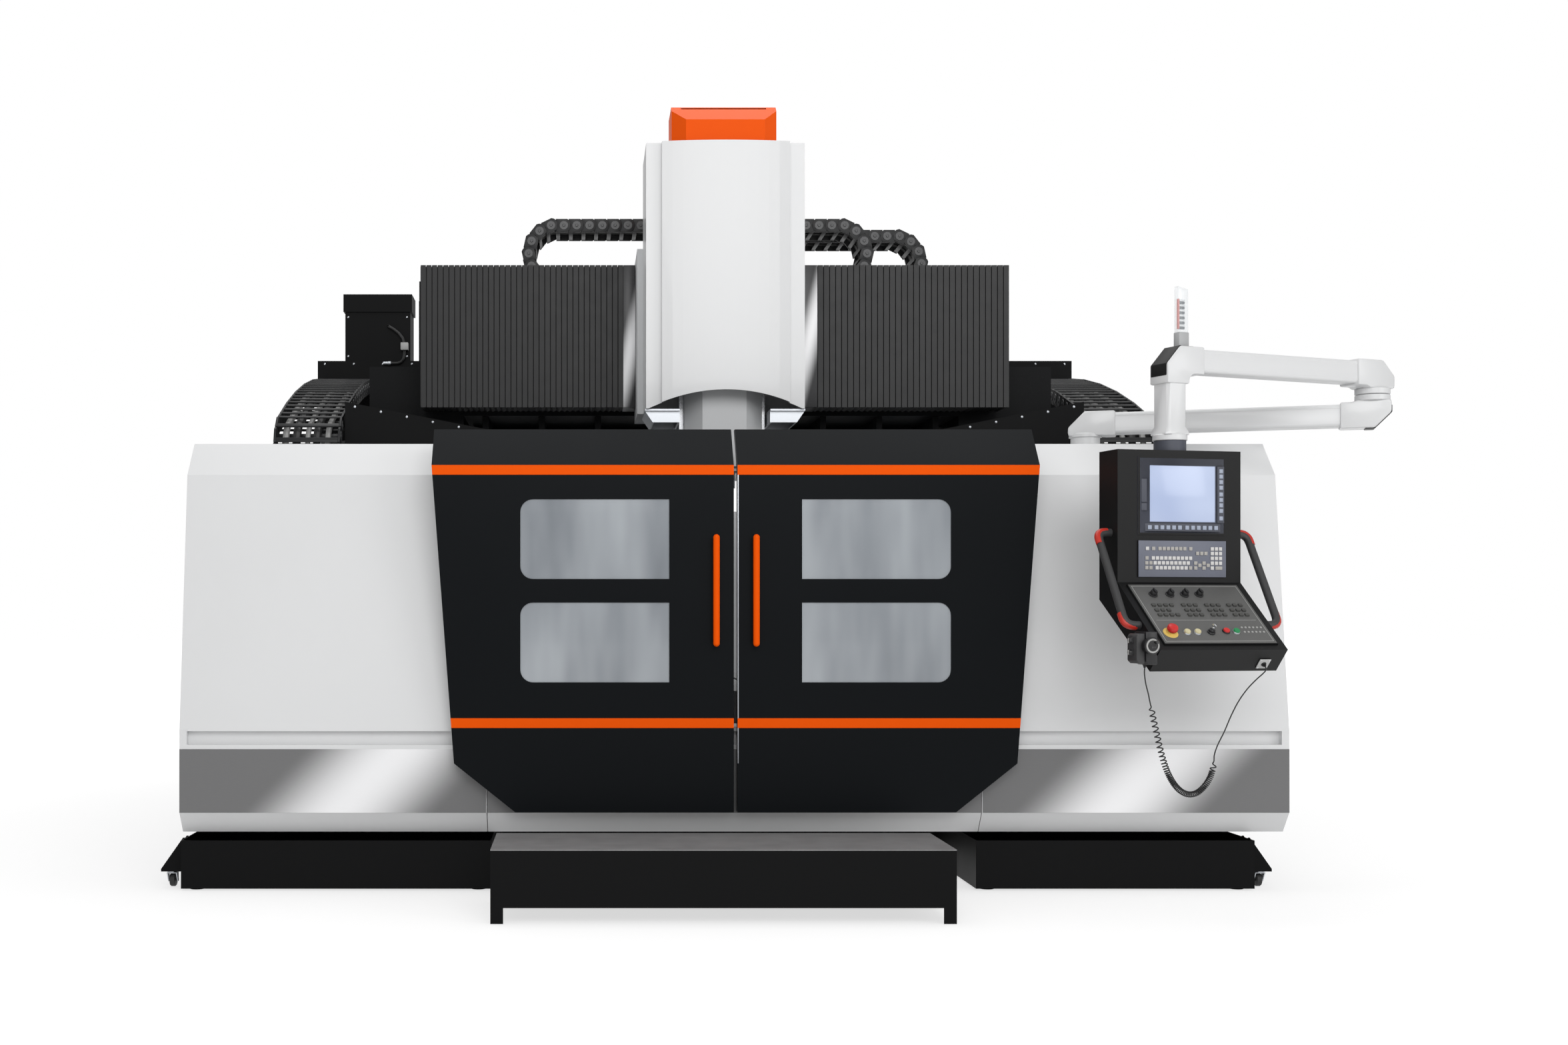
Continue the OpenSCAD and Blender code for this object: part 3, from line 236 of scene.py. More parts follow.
def painted_reflection_steel(name, dark, highlight_colour, centres, half_width, slant):
    """Polished sheet with a painted reflection: a slanted streak of light painted into its colour around each centre.
    """
    finish = Finish(name, dark, 0.36, 0.1)
    x, y, z = finish.axes()
    painted_reflection = 0.0
    # Painted reflection: near each slanted centre line the colour is pushed towards the highlight colour, a painted
    # highlight in place of light.
    for centre in centres:
        away = (x - z * slant - centre) / half_width
        glow = finish.add("ShaderNodeMath", {"operation": "MULTIPLY"}, {0: away, 1: away})
        fall = finish.add("ShaderNodeMath", {"operation": "MAXIMUM"}, {0: 1 - glow, 1: 0.0})
        painted_reflection = fall * fall + painted_reflection
    grain = finish.noise(30.0, 4.0, (1, 1, 40))
    finish.put("Base Color", finish.mix(painted_reflection + (grain - 0.5) * 0.06, finish.color, (*highlight_colour, 1)))
    finish.put("Roughness", grain * 0.15 + 0.26)
    return finish.material


# The foot band and the end plates beside the head get a painted reflection, a slanted streak of light painted into
# their colour.
band_steel = painted_reflection_steel("polished band", (0.155, 0.155, 0.157), (0.92, 0.92, 0.93), (-2.07, 1.29), 0.44, 1.0)
plate_steel = painted_reflection_steel("polished end plate", (0.03, 0.03, 0.032), (0.95, 0.95, 0.96), (-1.05, -0.17), 0.07, 0.25)
rail_steel = brushed("ground rail", (0.62, 0.63, 0.65), 0.28, (1, 0.05, 1))
zinc = brushed("zinc plate", (0.52, 0.54, 0.57), 0.38, (1, 1, 1))
chrome = brushed("chrome", (0.75, 0.76, 0.78), 0.14, (1, 1, 0.1))
table_iron = brushed("milled iron", (0.26, 0.265, 0.27), 0.42, (1, 0.04, 1), 0.85)


# %% [markdown]
# Plastics and rubber are plain, so their roughness does the work: moulded chain links are satin,
# the cord's jacket is matt, and the grips are a soft dark grey.


# %% Plastic, rubber and glass
def moulded(name, color, roughness, texture=0.00008, extra=None):
    finish = Finish(name, color, roughness, extra=extra)
    patch = finish.noise(14.0, 3.0)
    finish.put("Base Color", finish.shade(patch * 0.8 + 0.5))
    finish.put("Roughness", patch * 0.16 + (roughness - 0.08))
    finish.bump(finish.noise(900.0, 1.0), texture)
    return finish.material


chain_plastic = moulded("chain plastic", (0.013, 0.0135, 0.0142), 0.42, extra={"Specular IOR Level": 0.35})
grip_plastic = moulded("grip plastic", (0.035, 0.035, 0.036), 0.5)
grip_red = moulded("grip red", (0.5, 0.022, 0.01), 0.38)
cord_rubber = moulded("cord jacket", (0.012, 0.012, 0.0125), 0.48)
wheel_rubber = moulded("wheel rubber", (0.02, 0.02, 0.02), 0.6)
slat_plastic = moulded("bellows slat", (0.021, 0.0212, 0.0218), 0.42, extra={"Specular IOR Level": 0.3})
rubber_black = moulded("seal rubber", (0.006, 0.006, 0.006), 0.65)


def window_glass():
    finish = Finish("window glass", (0.27, 0.29, 0.315), 0.16, extra={"Coat Weight": 0.5})
    smear = finish.noise(2.6, 2.0, (2.2, 1, 0.5))
    finish.put("Base Color", finish.mix(smear * 1.6 - 0.3, (0.19, 0.21, 0.235, 1), (0.46, 0.49, 0.52, 1)))
    finish.put("Alpha", 0.9)
    return finish.material


glass = window_glass()

# %% [markdown]
# Every solid of the frame now takes the finish that belongs to its material slot in the record,
# so a new solid in the source would be dressed the same way.

# %% Dress the solids
finish_of_slot = {
    "cast_dark": black_casting, "cast_black": black_casting, "cast_white": white_casting,
    "table_iron": table_iron, "pad_steel": zinc, "rail_steel": rail_steel, "nose_steel": chrome,
    "sheet_white": white_sheet, "head_white": white_head, "arm_white": white_arm,
    "brushed_band": band_steel, "zinc_sheet": zinc, "sheet_black": black_sheet,
    "door_black": black_door, "window_glass": glass, "orange_paint": orange,
    "bellows_slats": slat_plastic, "chain_plastic": chain_plastic, "caster_rubber": wheel_rubber,
    "box_black": black_box, "grip_plastic": grip_plastic, "cord_rubber": cord_rubber,
}


def tread_plate():
    """Grey floor paint over a plate with small raised bars at two slants."""
    finish = Finish("tread plate", (0.17, 0.17, 0.172), 0.55)
    x, y, z = finish.axes()
    wave = (x + y).math("SINE", (x + y) * 170.0) * (x - y).math("SINE", (x - y) * 170.0)
    finish.bump(wave.math("ABSOLUTE", wave), 0.0012, 0.5)
    scuff = finish.noise(9.0, 6.0)
    finish.put("Base Color", finish.mix(scuff, (0.14, 0.14, 0.142, 1), (0.24, 0.24, 0.242, 1)))
    return finish.material


finish_of_slot["tread_plate"] = tread_plate()
lamp_clear = Finish("lamp clear", (0.85, 0.9, 0.93), 0.12, extra={"Alpha": 0.4, "Coat Weight": 0.5})
finish_of_slot["lamp_plastic"] = lamp_clear.material
slot_of_node = {part["node"]: part["material_slot"] for part in frame["record"]["subparts"]}


def paint(piece, material):
    piece.data.materials.clear()
    piece.data.materials.append(material)


for name, node in nodes.items():
    paint(node, finish_of_slot[slot_of_node[name]])
print("dressed", len(nodes), "solids")

# %% [markdown]
# ## Modelling by hand, in code
#
# Each helper does what hands would do in the viewport: add a primitive, go into edit mode, shape
# it, and come back. `bar` is a block with rounded edges, `plate` is an outline that is extruded,
# `turned` is a lathe part, and `tube` is a bent rod.


# %% Modelling helpers
def begin():
    bpy.ops.object.select_all(action="DESELECT")


def edit():
    bpy.ops.object.mode_set(mode="EDIT")
    bpy.ops.mesh.select_all(action="SELECT")


def leave(name):
    bpy.ops.object.mode_set(mode="OBJECT")
    bpy.context.object.name = name
    return bpy.context.object


def bar(name, low, high, rounding=0.001, steps=2):
    low, high = Vector(low), Vector(high)
    begin()
    bpy.ops.mesh.primitive_cube_add(size=1, location=(low + high) / 2)
    bpy.context.object.scale = high - low
    bpy.ops.object.transform_apply(location=True, rotation=True, scale=True)
    edit()
    bpy.ops.mesh.bevel(offset=rounding, segments=steps, affect="EDGES")
    return leave(name)


def plate(name, outline, push, rounding=0.0):
    """A closed outline of points, extruded along push."""
    begin()
    bpy.ops.mesh.primitive_circle_add(vertices=len(outline), fill_type="NGON")
    for vertex, point in zip(bpy.context.object.data.vertices, outline):
        vertex.co = point
    edit()
    bpy.ops.mesh.extrude_region_move(TRANSFORM_OT_translate={"value": push})
    bpy.ops.mesh.select_all(action="SELECT")
    bpy.ops.mesh.normals_make_consistent(inside=False)
    if rounding:
        bpy.ops.mesh.bevel(offset=rounding, segments=2, affect="EDGES")
    return leave(name)


def turned(name, rings, at=(0, 0, 0), axis=(0, 0, 1), sides=28):
    """A lathe part: rings are (height, radius) pairs along the axis."""
    begin()
    bpy.ops.mesh.primitive_circle_add(vertices=sides, radius=rings[0][1], fill_type="NGON")
    edit()
    height, radius = rings[0]
    for next_height, next_radius in rings[1:]:
        step = (0, 0, next_height - height)
        bpy.ops.mesh.extrude_region_move(TRANSFORM_OT_translate={"value": step})
        bpy.ops.transform.resize(value=(next_radius / radius, next_radius / radius, 1))
        height, radius = next_height, next_radius
    bpy.ops.mesh.select_all(action="SELECT")
    bpy.ops.mesh.normals_make_consistent(inside=False)
    piece = leave(name)
    turn = Vector(axis).to_track_quat("Z", "Y").to_matrix().to_4x4()
    lift = Matrix.Translation((0, 0, rings[0][0]))
    piece.matrix_world = Matrix.Translation(at) @ turn @ lift
    bpy.ops.object.transform_apply(location=True, rotation=True, scale=True)
    return piece


def tube(name, points, radius, sides=3):
    begin()
    curve = bpy.data.curves.new(name, "CURVE")
    curve.dimensions = "3D"
    curve.bevel_depth = radius
    curve.bevel_resolution = sides
    curve.use_fill_caps = True
    spline = curve.splines.new("POLY")
    spline.points.add(len(points) - 1)
    for point, place in zip(spline.points, points):
        point.co = (*place, 1)
    piece = bpy.data.objects.new(name, curve)
    bpy.context.scene.collection.objects.link(piece)
    piece.select_set(True)
    bpy.context.view_layer.objects.active = piece
    bpy.ops.object.convert(target="MESH")
    return bpy.context.object


def copies(piece, places):
    """One joined piece made of a copy of piece at each offset, the first included."""
    made = [piece]
    for offset in places[1:]:
        twin = piece.copy()
        twin.data = piece.data.copy()
        twin.data.transform(Matrix.Translation(Vector(offset) - Vector(places[0])))
        bpy.context.scene.collection.objects.link(twin)
        made.append(twin)
    return join(piece.name, made)


def join(name, pieces):
    begin()
    for piece in pieces:
        piece.select_set(True)
    bpy.context.view_layer.objects.active = pieces[0]
    bpy.ops.object.join()
    bpy.context.object.name = name
    return bpy.context.object


def set_in(piece, matrix):
    """Moves a piece that was modelled in a local frame to its place, and applies it."""
    begin()
    piece.select_set(True)
    bpy.context.view_layer.objects.active = piece
    piece.matrix_world = matrix
    bpy.ops.object.transform_apply(location=True, rotation=True, scale=True)
    return piece


def finish_piece(piece, material, body, smooth=35):
    begin()
    piece.select_set(True)
    bpy.context.view_layer.objects.active = piece
    if smooth:
        bpy.ops.object.shade_smooth_by_angle(angle=math.radians(smooth))
    if material:
        paint(piece, material)
    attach(piece, body)
    return piece


def arc(centre, radius, start, end, count):
    angles = [math.radians(start + (end - start) * i / count) for i in range(count + 1)]
    return [(centre[0] + radius * math.cos(a), centre[1] + radius * math.sin(a)) for a in angles]


# %% [markdown]
# ## The handwheel's curly cord
#
# It leaves the handwheel as a thin straight lead, runs through a coil that its own weight has
# stretched open at the top, and returns to the socket under the console. A loop winds the helix
# around the hanging line, with a pitch that closes towards the bottom.

# %% Frames of the control panel
panel_pivot = Vector(joints["control_panel_swivel"]["pos_m"])
panel_yaw = math.radians(13)
panel = Matrix.Translation((panel_pivot.x, panel_pivot.y, 0)) @ Matrix.Rotation(panel_yaw, 4, "Z")
box_half = 0.281
box_front = -0.075
box_top = 1.885
box_foot = 1.34
console_out = 0.33
console_drop = 0.272
console_slope = math.atan2(console_drop, console_out)
console_length = math.hypot(console_drop, console_out)
console = panel @ Matrix.Translation((0, box_front, box_foot)) @ Matrix.Rotation(console_slope, 4, "X")
print("panel at", [round(c, 3) for c in panel_pivot])


# %% Curly cord
def smooth_path(points, step):
    """Points on one smooth curve through the given ones, evenly step metres apart."""
    points = [Vector(p) for p in points]
    ends = [2 * points[0] - points[1], *points, 2 * points[-1] - points[-2]]
    dense = []
    for a, b, c, d in zip(ends, ends[1:], ends[2:], ends[3:]):
        for i in range(96):
            t = i / 96
            bend = (2 * b + (c - a) * t + (2 * a - 5 * b + 4 * c - d) * t**2 + (3 * b - a - 3 * c + d) * t**3)
            dense.append(bend / 2)
    dense.append(points[-1])
    made, walked = [dense[0]], 0.0
    for p, q in zip(dense, dense[1:]):
        gap = (q - p).length
        while walked + gap >= step * len(made):
            made.append(p.lerp(q, (step * len(made) - walked) / gap))
        walked += gap
    return made[:-1] + [dense[-1]]


lead_out = [(-0.306, -0.330, 0.9956), (-0.307, -0.330, 0.978), (-0.305, -0.331, 0.955),
            (-0.300, -0.331, 0.928), (-0.292, -0.331, 0.900), (-0.285, -0.330, 0.872)]
coil_line = [(-0.280, -0.330, 0.850), (-0.272, -0.329, 0.815), (-0.262, -0.328, 0.775),
             (-0.250, -0.327, 0.730), (-0.237, -0.326, 0.680), (-0.222, -0.326, 0.630),
             (-0.202, -0.325, 0.580), (-0.176, -0.325, 0.537), (-0.144, -0.324, 0.506),
             (-0.108, -0.324, 0.492), (-0.072, -0.324, 0.498), (-0.040, -0.324, 0.522),
             (-0.016, -0.325, 0.556), (-0.002, -0.326, 0.596), (0.002, -0.326, 0.625)]
lead_back = [(0.004, -0.326, 0.650), (0.020, -0.326, 0.690), (0.048, -0.326, 0.740),
             (0.076, -0.327, 0.800), (0.106, -0.332, 0.858), (0.138, -0.343, 0.908),
             (0.168, -0.358, 0.946), (0.190, -0.370, 0.970), (0.202, -0.375, 0.985),
             (0.204, -0.372, 0.996), (0.203, -0.3654, 1.0026)]
cord_diameter = 0.005
coil_radius = 0.0103
entry_pitch = 0.030
open_pitch = 0.0215
closed_pitch = 0.0074
fine_step = 0.00045
lead_stride = 16


def ease(value):
    value = min(max(value, 0.0), 1.0)
    return value * value * (3 - 2 * value)


def wind(line, start, end):
    """The line with a helix between two of its indices: open turns first, closed ones later."""
    made, turn = [], 0.0
    for i, (p, q) in enumerate(zip(line, line[1:])):
        inside = start <= i < end
        if not inside:
            if i % lead_stride == 0:
                made.append(p)
            continue
        walked, left = (i - start) * fine_step, (end - i) * fine_step
        tight = ease((walked - 0.15) / 0.16)
        pitch = open_pitch + (closed_pitch - open_pitch) * tight
        grown = ease(walked / 0.026) * ease(left / 0.026)
        pitch = entry_pitch + (pitch - entry_pitch) * ease(walked / 0.04 - 0.3) * ease(left / 0.04 - 0.3)
        along = (q - p).normalized()
        side = along.cross(Vector((0, 1, 0))).normalized()
        front = along.cross(side)
        made.append(p + coil_radius * grown * (math.cos(turn) * side + math.sin(turn) * front))
        turn += 2 * math.pi * fine_step / pitch
    return made + [line[-1]]


cord_line = smooth_path(lead_out + coil_line + lead_back, fine_step)
coil_start = min(range(len(cord_line)), key=lambda i: (cord_line[i] - Vector(coil_line[0])).length)
coil_end = min(range(len(cord_line)), key=lambda i: (cord_line[i] - Vector(coil_line[-1])).length)
cord_points = [panel @ p for p in wind(cord_line, coil_start, coil_end)]
cord_length = sum((q - p).length for p, q in zip(cord_points, cord_points[1:]))
cord_curve = bpy.data.curves.new("curly_cord", "CURVE")
cord_curve.dimensions = "3D"
cord_curve.bevel_depth = cord_diameter / 2
cord_curve.bevel_resolution = 3
cord_spline = cord_curve.splines.new("POLY")
cord_spline.points.add(len(cord_points) - 1)
for point, place in zip(cord_spline.points, cord_points):
    point.co = (*place, 1)
cord = bpy.data.objects.new("curly_cord", cord_curve)
bpy.context.scene.collection.objects.link(cord)
cord_curve.materials.append(cord_rubber)
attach(cord, "control_panel")
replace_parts(cord, "cord_leads", "cord_coil")
print("cord", round(cord_length, 2), "m in", len(cord_points), "points")

# %% [markdown]
# ## The control panel
#
# The steel box stays as it is. The display, the keyboard and the console's key field are thin
# bezels on its faces, modelled in the panel's own frame and then turned into place together.

# %% Panel finishes
bezel_grey = moulded("bezel grey", (0.135, 0.145, 0.185), 0.42)
bezel_dark = moulded("bezel recess", (0.06, 0.065, 0.085), 0.5)
key_light = moulded("key cream", (0.62, 0.61, 0.6), 0.5)
key_blue = moulded("key blue grey", (0.34, 0.38, 0.47), 0.45)
console_grey = moulded("console grey", (0.105, 0.105, 0.102), 0.48)
console_line = moulded("console line", (0.36, 0.36, 0.35), 0.5)
key_dark = moulded("key dark", (0.06, 0.06, 0.056), 0.45)
knob_black = moulded("knob black", (0.008, 0.008, 0.009), 0.35)
stop_red = moulded("stop red", (0.58, 0.02, 0.018), 0.32)
stop_yellow = moulded("stop yellow", (0.72, 0.5, 0.12), 0.42)
button_cream = moulded("button cream", (0.6, 0.54, 0.33), 0.42)
button_green = moulded("button green", (0.008, 0.24, 0.075), 0.36)
plug_grey = moulded("socket grey", (0.46, 0.46, 0.455), 0.45)


def screen_glass():
    finish = Finish("display glass", (0.46, 0.54, 0.74), 0.2, extra={"Coat Weight": 0.3})
    x, y, z = finish.axes()
    cloud = finish.noise(3.5, 1.0)
    finish.put("Base Color", finish.mix(cloud * 1.5 - 0.25, (0.38, 0.46, 0.68, 1), (0.58, 0.66, 0.85, 1)))
    return finish.material


display_glass = screen_glass()


# %% Display unit and keyboard unit
def keys_at(name, places, size, height, y, material, rounding=0.0012):
    """Square keys on the box's front face, at (x, z) places."""
    half_w, half_h = size[0] / 2, size[1] / 2
    first = places[0]
    low = (first[0] - half_w, y - height, first[1] - half_h)
    high = (first[0] + half_w, y, first[1] + half_h)
    key = bar(name, low, high, rounding)
    made = copies(key, [(x, 0, z) for x, z in places])
    set_in(made, panel)
    return finish_piece(made, material, "control_panel")


def on_box(piece, material):
    return finish_piece(set_in(piece, panel), material, "control_panel")


def frame_plate(name, low, high, hole_low, hole_high, y, depth):
    """A bezel with a window: the front is inset to the window's edge and pushed back."""
    begin()
    centre = Vector(((low[0] + high[0]) / 2, y - depth / 2, (low[1] + high[1]) / 2))
    bpy.ops.mesh.primitive_cube_add(size=1, location=centre)
    piece = bpy.context.object
    piece.scale = (high[0] - low[0], depth, high[1] - low[1])
    bpy.ops.object.transform_apply(location=True, rotation=True, scale=True)
    front = [p for p in piece.data.polygons if p.normal.y < -0.9][0]
    for polygon in piece.data.polygons:
        polygon.select = polygon == front
    bpy.ops.object.mode_set(mode="EDIT")
    bpy.ops.mesh.select_mode(type="FACE")
    bpy.ops.mesh.inset(thickness=0.004)
    bpy.ops.object.mode_set(mode="OBJECT")
    front = max((p for p in piece.data.polygons if p.normal.y < -0.9), key=lambda p: p.area)
    for polygon in piece.data.polygons:
        polygon.select = polygon == front
    corners = {(-1, -1): (hole_low[0], hole_low[1]), (1, -1): (hole_high[0], hole_low[1]),
               (1, 1): (hole_high[0], hole_high[1]), (-1, 1): (hole_low[0], hole_high[1])}
    for index in front.vertices:
        co = piece.data.vertices[index].co
        side = (1 if co.x > centre.x else -1, 1 if co.z > centre.z else -1)
        co.x, co.z = corners[side]
    bpy.ops.object.mode_set(mode="EDIT")
    bpy.ops.mesh.extrude_region_move(TRANSFORM_OT_translate={"value": (0, depth * 0.6, 0)})
    return leave(name)


bezel_x = (-0.190, 0.209)
display_z = (box_top - 0.350, box_top - 0.028)
screen_x = (bezel_x[0] + 0.050, bezel_x[0] + 0.350)
screen_z = (display_z[1] - 0.268, display_z[1] - 0.036)
bezel_back = box_front - 0.002
bezel_face = box_front - 0.008
on_box(frame_plate("display_bezel", (bezel_x[0], display_z[0]), (bezel_x[1], display_z[1]),
                   (screen_x[0], screen_z[0]), (screen_x[1], screen_z[1]), bezel_back, 0.006), bezel_grey)
on_box(bar("display_screen", (screen_x[0] - 0.002, bezel_back - 0.0035, screen_z[0] - 0.002),
           (screen_x[1] + 0.002, bezel_back - 0.0005, screen_z[1] + 0.002), 0.0006), display_glass)
strip_low = (bezel_x[0] + 0.358, bezel_face - 0.0006, display_z[1] - 0.270)
on_box(bar("display_side_strip", strip_low, (bezel_x[0] + 0.390, bezel_face + 0.001, display_z[1] - 0.037), 0.0005),
       bezel_dark)
on_box(bar("display_foot_strip", (bezel_x[0] + 0.028, bezel_face - 0.0006, display_z[1] - 0.307),
           (bezel_x[0] + 0.372, bezel_face + 0.001, display_z[1] - 0.275), 0.0005), bezel_dark)
side_keys = [(bezel_x[0] + 0.375, display_z[1] - z) for z in (0.056, 0.078, 0.101, 0.124, 0.152, 0.175, 0.197, 0.220, 0.251)]
foot_keys = [(bezel_x[0] + x, display_z[1] - 0.291) for x in
             (0.049, 0.079, 0.106, 0.133, 0.159, 0.186, 0.219, 0.246, 0.272, 0.299, 0.325, 0.352)]
keys_at("display_keys", side_keys + foot_keys, (0.017, 0.017), 0.003, bezel_face, key_blue)
on_box(bar("card_slot", (bezel_x[0] + 0.012, bezel_face - 0.0012, display_z[1] - 0.188),
           (bezel_x[0] + 0.037, bezel_face + 0.001, display_z[1] - 0.092), 0.0008), bezel_dark)
on_box(bar("card_slot_eject", (bezel_x[0] + 0.012, bezel_face - 0.0012, display_z[1] - 0.222),
           (bezel_x[0] + 0.037, bezel_face + 0.001, display_z[1] - 0.192), 0.0008), bezel_dark)

keyboard_z = (box_foot + 0.022, box_foot + 0.172)
on_box(bar("keyboard_bezel", (bezel_x[0], bezel_face, keyboard_z[0]), (bezel_x[1], bezel_back, keyboard_z[1]), 0.0015),
       bezel_grey)


def key_row(z, start, count, pitch=0.0188):
    return [(bezel_x[0] + start + i * pitch, keyboard_z[1] - z) for i in range(count)]


light_keys = (key_row(0.033, 0.038, 1) + key_row(0.033, 0.334, 3) + key_row(0.052, 0.334, 3)
              + key_row(0.072, 0.065, 10) + key_row(0.072, 0.334, 3) + key_row(0.092, 0.073, 9)
              + key_row(0.092, 0.334, 3) + key_row(0.112, 0.082, 8) + key_row(0.112, 0.334, 1))
warm_keys = (key_row(0.033, 0.066, 1) + key_row(0.033, 0.095, 7) + key_row(0.033, 0.235, 1)
             + key_row(0.052, 0.267, 3) + key_row(0.072, 0.036, 1) + key_row(0.092, 0.035, 2)
             + key_row(0.092, 0.258, 1) + key_row(0.092, 0.296, 1) + key_row(0.101, 0.277, 1)
             + key_row(0.101, 0.315, 1) + key_row(0.112, 0.035, 2) + key_row(0.112, 0.234, 1)
             + key_row(0.112, 0.258, 1) + key_row(0.112, 0.296, 1))
key_warm = moulded("key warm grey", (0.4, 0.385, 0.36), 0.5)
keys_at("keyboard_keys", light_keys, (0.0148, 0.0148), 0.0035, bezel_face, key_light)
keys_at("keyboard_shift_keys", warm_keys, (0.0148, 0.0148), 0.0035, bezel_face, key_warm)
keys_at("keyboard_wide_key", [(bezel_x[0] + 0.364, keyboard_z[1] - 0.112)], (0.032, 0.0148), 0.0035, bezel_face, key_warm)
print("display and keyboard done")


# %% [markdown]
# The console's field is a grey plate with a thin light border. It carries four rotary switches,
# blocks of keys, an emergency stop on its yellow collar, push buttons and a key switch.


# %% Console field
def on_console(piece, material, smooth=35):
    return finish_piece(set_in(piece, console), material, "control_panel", smooth)


field_face = 0.006
on_console(bar("console_field", (-0.247, -0.394, field_face - 0.001), (0.247, -0.024, field_face + 0.0015), 0.001),
           console_grey)


def field_line(name, low, high):
    return bar(name, (low[0], low[1], field_face + 0.001), (high[0], high[1], field_face + 0.0021), 0.0002, 1)


border = (-0.238, -0.384, 0.238, -0.034)
lines = [field_line("line", (border[0], border[1]), (border[2], border[1] + 0.002)),
         field_line("line", (border[0], border[3] - 0.002), (border[2], border[3])),
         field_line("line", (border[0], border[1]), (border[0] + 0.002, border[3])),
         field_line("line", (border[2] - 0.002, border[1]), (border[2], border[3])),
         field_line("line", (-0.222, -0.253), (0.222, -0.2515))]
on_console(join("console_lines", lines), console_line)

groups = (-0.193, -0.060, 0.044, 0.144)
dark_places = []
for row, y in enumerate((-0.159, -0.191, -0.221)):
    for group, x in enumerate(groups):
        count = 4 if group == 0 and row != 1 else 3
        dark_places += [(x + 0.0265 * i, y) for i in range(count)]
first = dark_places[0]
key = bar("console_keys", (first[0] - 0.0085, first[1] - 0.0075, field_face), (first[0] + 0.0085, first[1] + 0.0075, field_face + 0.008), 0.0016)
on_console(copies(key, [(x, y, 0) for x, y in dark_places]), key_dark)
dots = [(x, y, 0) for y, x0 in ((-0.299, 0.135), (-0.327, 0.135)) for x in [x0 + 0.0172 * i for i in range(6)]]
dot = turned("console_lamps", [(0, 0.0052), (0.003, 0.0048), (0.0045, 0.003)], (dots[0][0], dots[0][1], field_face), sides=12)
on_console(copies(dot, dots), console_line)


def knob(name, x, y):
    """A pointer knob: a skirted disc with a gripping bar across its top."""
    disc = turned(name, [(0, 0.019), (0.004, 0.0185), (0.006, 0.0145), (0.02, 0.0135), (0.022, 0.012)], (x, y, field_face))
    grip = bar(name, (x - 0.0035, y - 0.0135, field_face + 0.019), (x + 0.0035, y + 0.0135, field_face + 0.027), 0.0015)
    return join(name, [disc, grip])


for index, x in enumerate((-0.164, -0.089, -0.023, 0.043)):
    on_console(knob(f"rotary_switch_{index + 1}", x, -0.090), knob_black)
on_console(turned("stop_collar", [(0, 0.031), (0.003, 0.031), (0.005, 0.029), (0.006, 0.02), (0.012, 0.019)],
                  (-0.196, -0.332, field_face)), stop_yellow)
on_console(turned("stop_button", [(0.008, 0.012), (0.016, 0.013), (0.02, 0.0215), (0.03, 0.022), (0.036, 0.019), (0.039, 0.012)],
                  (-0.196, -0.332, field_face)), stop_red)


def push_button(name, x, y, cap, ring):
    on_console(turned(name + "_ring", [(0, 0.0165), (0.005, 0.016), (0.007, 0.0145)], (x, y, field_face)), ring)
    on_console(turned(name, [(0.006, 0.0135), (0.011, 0.013), (0.013, 0.0115)], (x, y, field_face)), cap)


push_button("start_button", -0.123, -0.330, button_cream, zinc)
push_button("hold_button", -0.077, -0.330, button_cream, zinc)
push_button("power_off_button", 0.053, -0.324, stop_red, knob_black)
push_button("power_on_button", 0.097, -0.326, button_green, zinc)
lock = turned("key_switch", [(0, 0.0165), (0.006, 0.016), (0.008, 0.013), (0.016, 0.012), (0.017, 0.009)], (-0.016, -0.330, field_face))
on_console(lock, knob_black)
bow = [(x, y, 0) for x, y in arc((0, 0), 0.0085, 0, 330, 11)]
key_blade = bar("key", (-0.0012, -0.004, 0), (0.0012, 0.004, 0.012), 0.0004)
key_bow = plate("key", [(0, y * 1.25, x + 0.0195) for x, y, _ in bow], (0.0022, 0, 0), 0.0004)
key_place = Matrix.Translation((-0.016, -0.330, field_face + 0.016)) @ Matrix.Rotation(math.radians(35), 4, "Z")
key_set = set_in(join("switch_key", [key_blade, key_bow]), key_place)
on_console(key_set, chrome)
print("console done")

# %% [markdown]
# ## Handwheel and cord socket
#
# The operator lifts this small box from its holder to jog the axes by hand. Its dial, its crank
# and its two selector knobs are lathe parts, and both ends of the curly cord go through a gland
# that tapers down to the wire.

# %% Handwheel
wheel_at = Vector((-box_half, -0.325, 1.085))


def beside_wheel(name, outline, y0, y1, material):
    """A profile in XZ at the handwheel's mount, from y0 to y1."""
    points = [(wheel_at.x + x, wheel_at.y + y0, wheel_at.z + z) for x, z in outline]
    return on_box(plate(name, points, (0, y1 - y0, 0), 0.004), material)


def on_wheel(name, rings, offset, axis, material, sides=28):
    piece = turned(name, rings, wheel_at + Vector(offset), axis, sides)
    return on_box(piece, material)


holder_line = [(0, 0.055), (-0.050, 0.055), (-0.050, -0.060), (-0.036, -0.075), (0, -0.075)]
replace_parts(beside_wheel("handwheel_holder", holder_line, -0.060, 0.030, knob_black), "handwheel")
body_line = [(-0.049, 0.048), (-0.078, 0.048), (-0.086, 0.036), (-0.086, -0.058), (-0.074, -0.070), (-0.049, -0.070)]
beside_wheel("handwheel_body", body_line, -0.052, 0.022, grip_plastic)
knob_rings = [(-0.001, 0.0138), (0.002, 0.0134), (0.004, 0.0115), (0.013, 0.0105), (0.0155, 0.009)]
for word, height in (("axis", 0.020), ("step", -0.026)):
    on_wheel(f"handwheel_{word}_knob", knob_rings, (-0.086, -0.016, height), (-1, 0, 0), knob_black)
    at = wheel_at + Vector((-0.1, -0.016, height))
    grip = bar(f"handwheel_{word}_grip", at - Vector((0.004, 0.0025, 0.0095)), at + Vector((0, 0.0025, 0.0095)), 0.001)
    on_box(grip, console_line)
